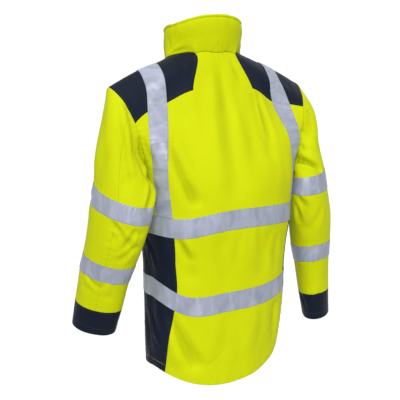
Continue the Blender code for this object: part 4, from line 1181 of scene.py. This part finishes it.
def cloth_material(name, colour, deep, shade, pale, roughness, sheen, gloss, bump):
    """Woven cloth: thread by thread relief with a painted highlight on its crests, soft patches, painted
    shade in creases and beside seams.
    """
    made, tree, shader = shader_material(
        name, roughness, Sheen_Weight=sheen, Sheen_Roughness=0.5, Specular_IOR_Level=gloss)
    woven, flat = weave(tree, *CLOTH_THREADS)
    patches = noise_of(tree, object_place(tree), PATCHES, detail=3.0)
    fibres = noise_of(tree, flat, FIBRES)
    valley, rim = stored(tree, "valley"), stored(tree, "rim")
    body = mixed(tree, ranged(tree, patches, (0.35, 0.65), (0.0, 0.5)), colour, pale)
    # painted shade in creases, darker the deeper the crease
    body = mixed(tree, ranged(tree, valley, PAINTED_SHADE_FROM, (0.0, 0.6)), body, deep)
    body = mixed(tree, ranged(tree, valley, SHADE_FROM, (0.0, 0.85)), body, shade)
    # painted shade beside seams
    body = mixed(tree, ranged(tree, rim, (0.0, CLOTH_SEAM_SHADE), (0.35, 0.0)), body, deep)
    # painted highlight on the weave's raised crests, with random lighter fibres
    crest_highlight_and_fibres = ranged(tree, maths(tree, "ADD", woven, fibres), (-0.6, 1.6), (0.0, 0.14))
    body = mixed(tree, crest_highlight_and_fibres, body, pale)
    rough = ranged(tree, patches, (0.3, 0.7), (roughness - 0.06, roughness + 0.06))
    relief = maths(tree, "ADD", maths(tree, "MULTIPLY", woven, 0.7), fibres)
    finish(tree, shader, body, rough, relief, strength=bump, depth=0.0003)
    return made


def tape_material(name, turn):
    """Retroreflective tape: fine ribs, a dull metallic film in soft bars of painted light and shade,
    painted shade at its rims.
    """
    made, tree, shader = shader_material(name, roughness=0.46, metallic=0.25, Specular_IOR_Level=0.4)
    ribs, flat = weave(tree, *TAPE_RIBS)
    specks, rim = noise_of(tree, flat, SPECKS), stored(tree, "rim")
    turned = {"Vector": flat, "Rotation": (0, 0, turn), "Scale": (*PAINTED_LIGHT_BARS, 1)}
    place = node(tree, "Mapping", turned, vector_type="TEXTURE").outputs[0]
    # bars of painted highlight and painted shade, for the film's angle-dependent reflection
    painted_light_bars = noise_of(tree, place, 1.0, bent=0.8)
    body = mixed(tree, ranged(tree, painted_light_bars, (0.48, 0.72), (0.0, 0.6)), TAPE_COLOUR, TAPE_PAINTED_HIGHLIGHT)
    body = mixed(tree, ranged(tree, painted_light_bars, (0.30, 0.48), (0.35, 0.0)), body, TAPE_PAINTED_SHADE_AND_SPECKS)
    body = mixed(tree, ranged(tree, specks, (0.35, 0.75), (0.0, 0.2)), body, TAPE_PAINTED_SHADE_AND_SPECKS)
    # painted shade along the tape's rims
    body = mixed(tree, ranged(tree, rim, (0.0, TAPE_SEAM_SHADE), (0.6, 0.0)), body, TAPE_PAINTED_SHADE_AND_SPECKS)
    rough = ranged(tree, painted_light_bars, (0.3, 0.7), (0.42, 0.54))
    finish(tree, shader, body, rough, maths(tree, "ADD", ribs, specks), strength=0.25, depth=0.0002)
    return made


def metal_material():
    """Nickel of the zip: brushed along Z, darker and rougher where hands have rubbed it."""
    made, tree, shader = shader_material("zip_nickel", roughness=0.3, metallic=1.0)
    place = object_place(tree)
    drawn = node(tree, "Mapping", {"Vector": place, "Scale": BRUSHING}).outputs[0]
    brush = noise_of(tree, drawn, 1.0, detail=3.0)
    worn = noise_of(tree, place, WEAR, detail=3.0)
    body = mixed(tree, ranged(tree, worn, (0.40, 0.65)), NICKEL, NICKEL_WORN)
    rough = ranged(tree, brush, (0.3, 0.7), (0.22, 0.44))
    finish(tree, shader, body, rough, brush, strength=0.2, depth=0.00005)
    return made


def thread_material(name, colour):
    """Sewing thread: twisted plies with lighter fibres."""
    made, tree, shader = shader_material(name, roughness=0.6, Sheen_Weight=0.2)
    pale = (*(THREAD_LIGHT * part for part in colour[:3]), 1)
    plies = noise_of(tree, object_place(tree), PLIES)
    finish(tree, shader, mixed(tree, plies, colour, pale), None, plies, strength=0.4, depth=0.0001)
    return made


# ---------------------------------------------------------------- sewn pieces

NAVY_PIECES = ("side_", "shoulder_", "cuff_", "zip")
# Added to the sleeves' distance from their seams, so that their painted seam shade hardly shows
SLEEVE_FAINT = 0.0011     # the sleeves' own seams hardly show

# What each tape lies on; a sleeve's tapes lie on its outer piece
SEWN_TO = {
    "brace_left": ("back", "shoulder_patch_left", "front_left"),
    "brace_right": ("back", "shoulder_patch_right", "front_right"),
    "band_lower": ("back", "side_back_left", "side_back_right"),
    "band_upper": ("back", "front_left", "front_right"),
}


def add_object(name, mesh, material):
    made = bpy.data.objects.new(name, mesh)
    mesh.materials.append(material)
    bpy.context.scene.collection.objects.link(made)
    return made


def add_sheet(name, shell, material, slot):
    """Makes a shell a sheet of cloth that stands for the node of this name."""
    made = add_object(name + "_cloth", shell.mesh(name + "_cloth"), material)
    shell.slot = slot
    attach(made, "jacket")
    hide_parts(name)
    carriers = SEWN_TO.get(name, ("sleeve_outer" + name[name.rfind("_"):],) if "_band_" in name else ())


def add_pieces(cloth):
    """Every sewn piece and tape as its own shell, by name."""
    yellow = cloth_material("hi_vis_polyester", YELLOW, YELLOW_PAINTED_SHADE, YELLOW_SHADE, YELLOW_PALE,
                            roughness=0.62, sheen=0.015, gloss=0.06, bump=0.35)
    navy = cloth_material("navy_polyester", NAVY, NAVY_PAINTED_SHADE, NAVY_PAINTED_SHADE, NAVY_PALE,
                          roughness=0.46, sheen=0.01, gloss=0.12, bump=0.45)
    tape, brace = tape_material("reflective_tape", 0.0), tape_material("brace_tape", BRACE_TURN)
    shells = {}
    for name in sorted(map(str, set(cloth.piece))):
        in_sleeve = "sleeve" in name
        roll = COLLAR_ROLL if name == "collar" else LONG_SEAM_ROLL if in_sleeve else SEAM_ROLL
        depth = COLLAR_CLOTH if name == "collar" else CLOTH
        shell = Shell(cloth, cloth.piece == name, 0.0, -depth, roll, SLEEVE_FAINT if in_sleeve else 0.0)
        looks = (navy, "navy_cloth") if name.startswith(NAVY_PIECES) else (yellow, "hi_vis_cloth")
        add_sheet(name, shell, *looks)
        shells[name] = shell
    for name in sorted(map(str, set(cloth.tape) - {""})):
        shell = Shell(cloth, cloth.tape == name, TAPE_TOP, TAPE_GAP, TAPE_ROLL)
        add_sheet(name, shell, brace if name.startswith("brace") else tape, "reflective_tape")
        shells[name] = shell
    return shells


# ---------------------------------------------------------------- sewing and zip

STITCH_LENGTH, STITCH_PITCH, STITCH_RADIUS, STITCH_RISE = 0.0027, 0.0035, 0.00050, 0.00018
# A row keeps this far from other rims, and this share of its offset from its own.
RIM_MARGIN, OWN_MARGIN = 0.0015, 0.9
STITCH_STEPS = (0.5, 1.6)                # least and most pitches between two stitches

# piece, seam, offset: rows of stitches on pieces whose names start so, beside seams of this kind or
# of all kinds, and how far from the seam the row runs
STITCH_ROWS = (
    ("brace", "", 0.0022), ("band", "", 0.0022), ("sleeve_band", "", 0.0022),
    ("shoulder", "panel", 0.0030), ("shoulder", "panel", 0.0080), ("shoulder", "armhole", 0.0050),
    ("side", "panel", 0.0035), ("side", "hem", 0.0200),
    ("back", "hem", 0.0200), ("front", "hem", 0.0200), ("front", "zip", 0.0065),
    ("sleeve_outer", "armhole", 0.0040), ("sleeve_under", "armhole", 0.0040),
    ("cuff", "panel", 0.0035), ("cuff", "hem", 0.0200),
    ("collar", "hem", ROLL_WIDTH), ("collar", "panel", 0.0045), ("collar", "zip", 0.0065),
)
TOOTH_PITCH, TOOTH_SIZE, TOOTH_OVERLAP = 0.0022, (0.0024, 0.0013, 0.0012), 0.0004
TOOTH_SEAT, TOOTH_TOP = 0.45, 0.72       # its middle over the tape in depths, and its narrower top


def seam_kinds(cloth):
    """The kinds of all seams, with those along the zip told apart from other panel seams."""
    kinds = edge_kinds(cloth)
    for pair, kind in kinds.items():
        if kind == "panel" and np.abs(cloth.points[list(pair), 0]).max() < 2 * ZIP_HALF_WIDTH:
            kinds[pair] = "zip"
    return kinds


def stitch_row(shell, chain, offset, surface, rims):
    """Places of stitches in a row beside a run of the rim: middles, directions and normals."""
    line = shell.points[chain]
    walked = lengths(line[:, None])
    at = np.arange(STITCH_PITCH, walked[-1] - STITCH_PITCH / 2, STITCH_PITCH)
    if len(at) < 3:
        return []
    place = at_lengths(at, walked, line)
    normal = at_lengths(at, walked, shell.normal[chain])
    place += unit(np.cross(normal, np.gradient(place, axis=0))) * offset
    own = rim_tree(shell.points, chain[:-1], chain[1:])
    found = []
    for point in place.tolist():
        spot, facing, cell, _ = surface.find_nearest(point)
        hidden = shell.slot != "reflective_tape" and shell.taped[cell]
        clear = own.find(spot)[2] > OWN_MARGIN * offset and rims.find(spot)[2] > RIM_MARGIN
        found.append((spot, facing) if clear and not hidden else None)
    row = []
    for here, after in zip(found[:-1], found[1:]):
        if here and after:
            step = after[0] - here[0]
            if STITCH_STEPS[0] < step.length / STITCH_PITCH < STITCH_STEPS[1]:
                row.append(((here[0] + after[0]) / 2, step.normalized(), here[1]))
    return row


def stitches_mesh(name, rows):
    """Short spindles of thread, six points each, lying on the cloth."""
    middle, run, normal = (np.array([place[part] for place in rows]) for part in range(3))
    middle = middle + normal * STITCH_RISE
    half = run * STITCH_LENGTH / 2
    beside, above = np.cross(normal, run) * STITCH_RADIUS, normal * STITCH_RADIUS
    points = np.stack([middle - half, middle + beside, middle + above, middle - beside,
                       middle - above, middle + half], axis=1)
    faces = [(0, 1 + side, 1 + (side + 1) % 4) for side in range(4)]
    faces += [(5, 1 + (side + 1) % 4, 1 + side) for side in range(4)]
    return copies_mesh(name, points, faces)


def add_stitches(cloth, shells):
    """All stitches as one mesh for each kind of thread."""
    kinds = seam_kinds(cloth)
    rows = {slot: [] for slot in THREADS}
    for name, shell in shells.items():
        rules = [rule for rule in STITCH_ROWS if name.startswith(rule[0])]
        if not rules:
            continue
        surface = BVHTree.FromPolygons(shell.outer.tolist(), shell.local.tolist())
        rims = rim_tree(shell.points, shell.start, shell.end)
        for kind, chain in shell.rim_chains(kinds):
            for _, seam, offset in rules:
                if seam in ("", kind):
                    slot = "hi_vis_cloth" if name.startswith("side") and seam == "hem" else shell.slot
                    rows[slot] += stitch_row(shell, chain, offset, surface, rims)
    for slot, colour in THREADS.items():
        name = "stitches_" + slot
        made = add_object(name, stitches_mesh(name, rows[slot]), thread_material("thread_" + slot, colour))
        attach(made, "jacket")


def add_teeth(cloth, metal):
    """Two interlocking rows of zip teeth, from the hem to the slider."""
    used = np.unique(cloth.cells[cloth.piece == "zip"])
    used = used[np.abs(cloth.points[used, 0]) < WELD]
    used = used[np.argsort(cloth.points[used, 2])]
    line = cloth.points[used]
    walked = lengths(line[:, None])
    slider_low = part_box("zip_slider")[0][2]
    stop = np.interp(slider_low, line[:, 2], walked) - TOOTH_PITCH
    at = np.arange(TOOTH_PITCH, stop, TOOTH_PITCH / 2)
    centre = at_lengths(at, walked, line)
    facing = unit(at_lengths(at, walked, cloth.normal[used]))
    run = unit(at_lengths(at, walked, np.gradient(line, axis=0)))
    width, length, depth = TOOTH_SIZE
    centre += facing * depth * TOOTH_SEAT
    centre[:, 0] += np.where(np.arange(len(at)) % 2, 1.0, -1.0) * (width / 2 - TOOTH_OVERLAP)
    corners = np.array([(x, y, z) for x in (-1, 1) for y in (-1, 1) for z in (-1, 1)], float)
    corners[:, :2] *= np.where(corners[:, 2:] > 0, TOOTH_TOP, 1.0)
    across, up, out = (corners * np.array(TOOTH_SIZE) / 2).T[..., None]
    points = centre[:, None] + across * np.array([1.0, 0, 0]) + up * run[:, None] + out * facing[:, None]
    faces = [(0, 1, 3, 2), (4, 6, 7, 5), (0, 4, 5, 1), (2, 3, 7, 6), (0, 2, 6, 4), (1, 5, 7, 3)]
    made = add_object("zip_teeth", copies_mesh("zip_teeth", points, faces), metal)
    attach(made, "jacket")


# ---------------------------------------------------------------- camera and light

VIEW_PLACE, VIEW_ANGLE, VIEW_PITCH = (1.474, 2.344, -0.060), 32.16, 6.54
VIEW_LENS, VIEW_SHIFT = 93.4, -0.012
FLOOR_HEIGHT, FLOOR_RADIUS, FLOOR_STEPS = -1.45, 1.45, 96
FLOOR_PAINT, FLOOR_PALE, FLOOR_MOTTLE = (0.60, 0.60, 0.60, 1), (0.64, 0.64, 0.64, 1), 14.0
SUN_POWER, SUN_SIZE, SUN_HEIGHT, SUN_ANGLE = 2.12, 26.0, 27.0, 30.0
BRIGHT_SIDE, BRIGHT_SPREAD, WALLS = (-0.53, -0.84, 0.0), (0.60, 0.90), (0.45, 1.06)
CEILING_FROM, CEILING = (0.25, 0.85), 0.46


def add_camera():
    camera = bpy.data.objects.new("camera", bpy.data.cameras.new("camera"))
    camera.location = VIEW_PLACE
    camera.rotation_euler = (math.radians(90 - VIEW_PITCH), 0, math.radians(180 - VIEW_ANGLE))
    camera.data.lens, camera.data.shift_x = VIEW_LENS, VIEW_SHIFT
    camera.data.clip_end = 40
    bpy.context.scene.collection.objects.link(camera)
    bpy.context.scene.camera = camera


def add_stage():
    """A sun as wide as a softbox, the studio's walls and a round floor."""
    scene = bpy.context.scene
    scene.view_settings.view_transform = "Standard"
    sun = bpy.data.lights.new("softbox", "SUN")
    sun.energy, sun.angle = SUN_POWER, math.radians(SUN_SIZE)
    lamp = bpy.data.objects.new("softbox", sun)
    lamp.rotation_euler = (math.radians(90 - SUN_HEIGHT), 0, math.radians(180 - SUN_ANGLE))
    scene.collection.objects.link(lamp)
    add_studio_walls(scene)
    floor = bpy.data.meshes.new("floor")
    turns = [2 * math.pi * step / FLOOR_STEPS for step in range(FLOOR_STEPS)]
    rim = [(FLOOR_RADIUS * math.cos(turn), FLOOR_RADIUS * math.sin(turn), FLOOR_HEIGHT) for turn in turns]
    floor.from_pydata(rim, [], [range(FLOOR_STEPS)])
    paint, tree, shader = shader_material("floor_paint", roughness=0.9)
    mottle = noise_of(tree, object_place(tree), FLOOR_MOTTLE)
    tree.links.new(mixed(tree, mottle, FLOOR_PAINT, FLOOR_PALE), shader.inputs["Base Color"])
    add_object("floor", floor, paint)


def add_studio_walls(scene):
    """A pale room with a lit backdrop and a soft ceiling light."""
    world = bpy.data.worlds.new("studio")
    world.use_nodes = True
    tree = world.node_tree
    towards = node(tree, "TexCoord").outputs["Generated"]
    front = node(tree, "VectorMath", {0: towards, 1: BRIGHT_SIDE}, operation="DOT_PRODUCT")
    walls = ranged(tree, front.outputs["Value"], BRIGHT_SPREAD, WALLS)
    up = node(tree, "SeparateXYZ", {0: towards}).outputs["Z"]
    strength = maths(tree, "ADD", walls, ranged(tree, up, CEILING_FROM, (0.0, CEILING)))
    tree.links.new(strength, tree.nodes["Background"].inputs["Strength"])
    tree.nodes["Background"].inputs["Color"].default_value = (1, 1, 1, 1)
    scene.world = world


# ---------------------------------------------------------------- everything

def main():
    """Builds the scene round the frame."""
    add_camera()
    cloth = make_cloth()
    shape_cloth(cloth)
    shells = add_pieces(cloth)
    add_stitches(cloth, shells)
    metal = metal_material()
    add_teeth(cloth, metal)
    for name in ("zip_slider", "zip_pull"):
        mesh = bpy.data.objects[name].data
        mesh.materials.clear()
        mesh.materials.append(metal)
    add_stage()


main()
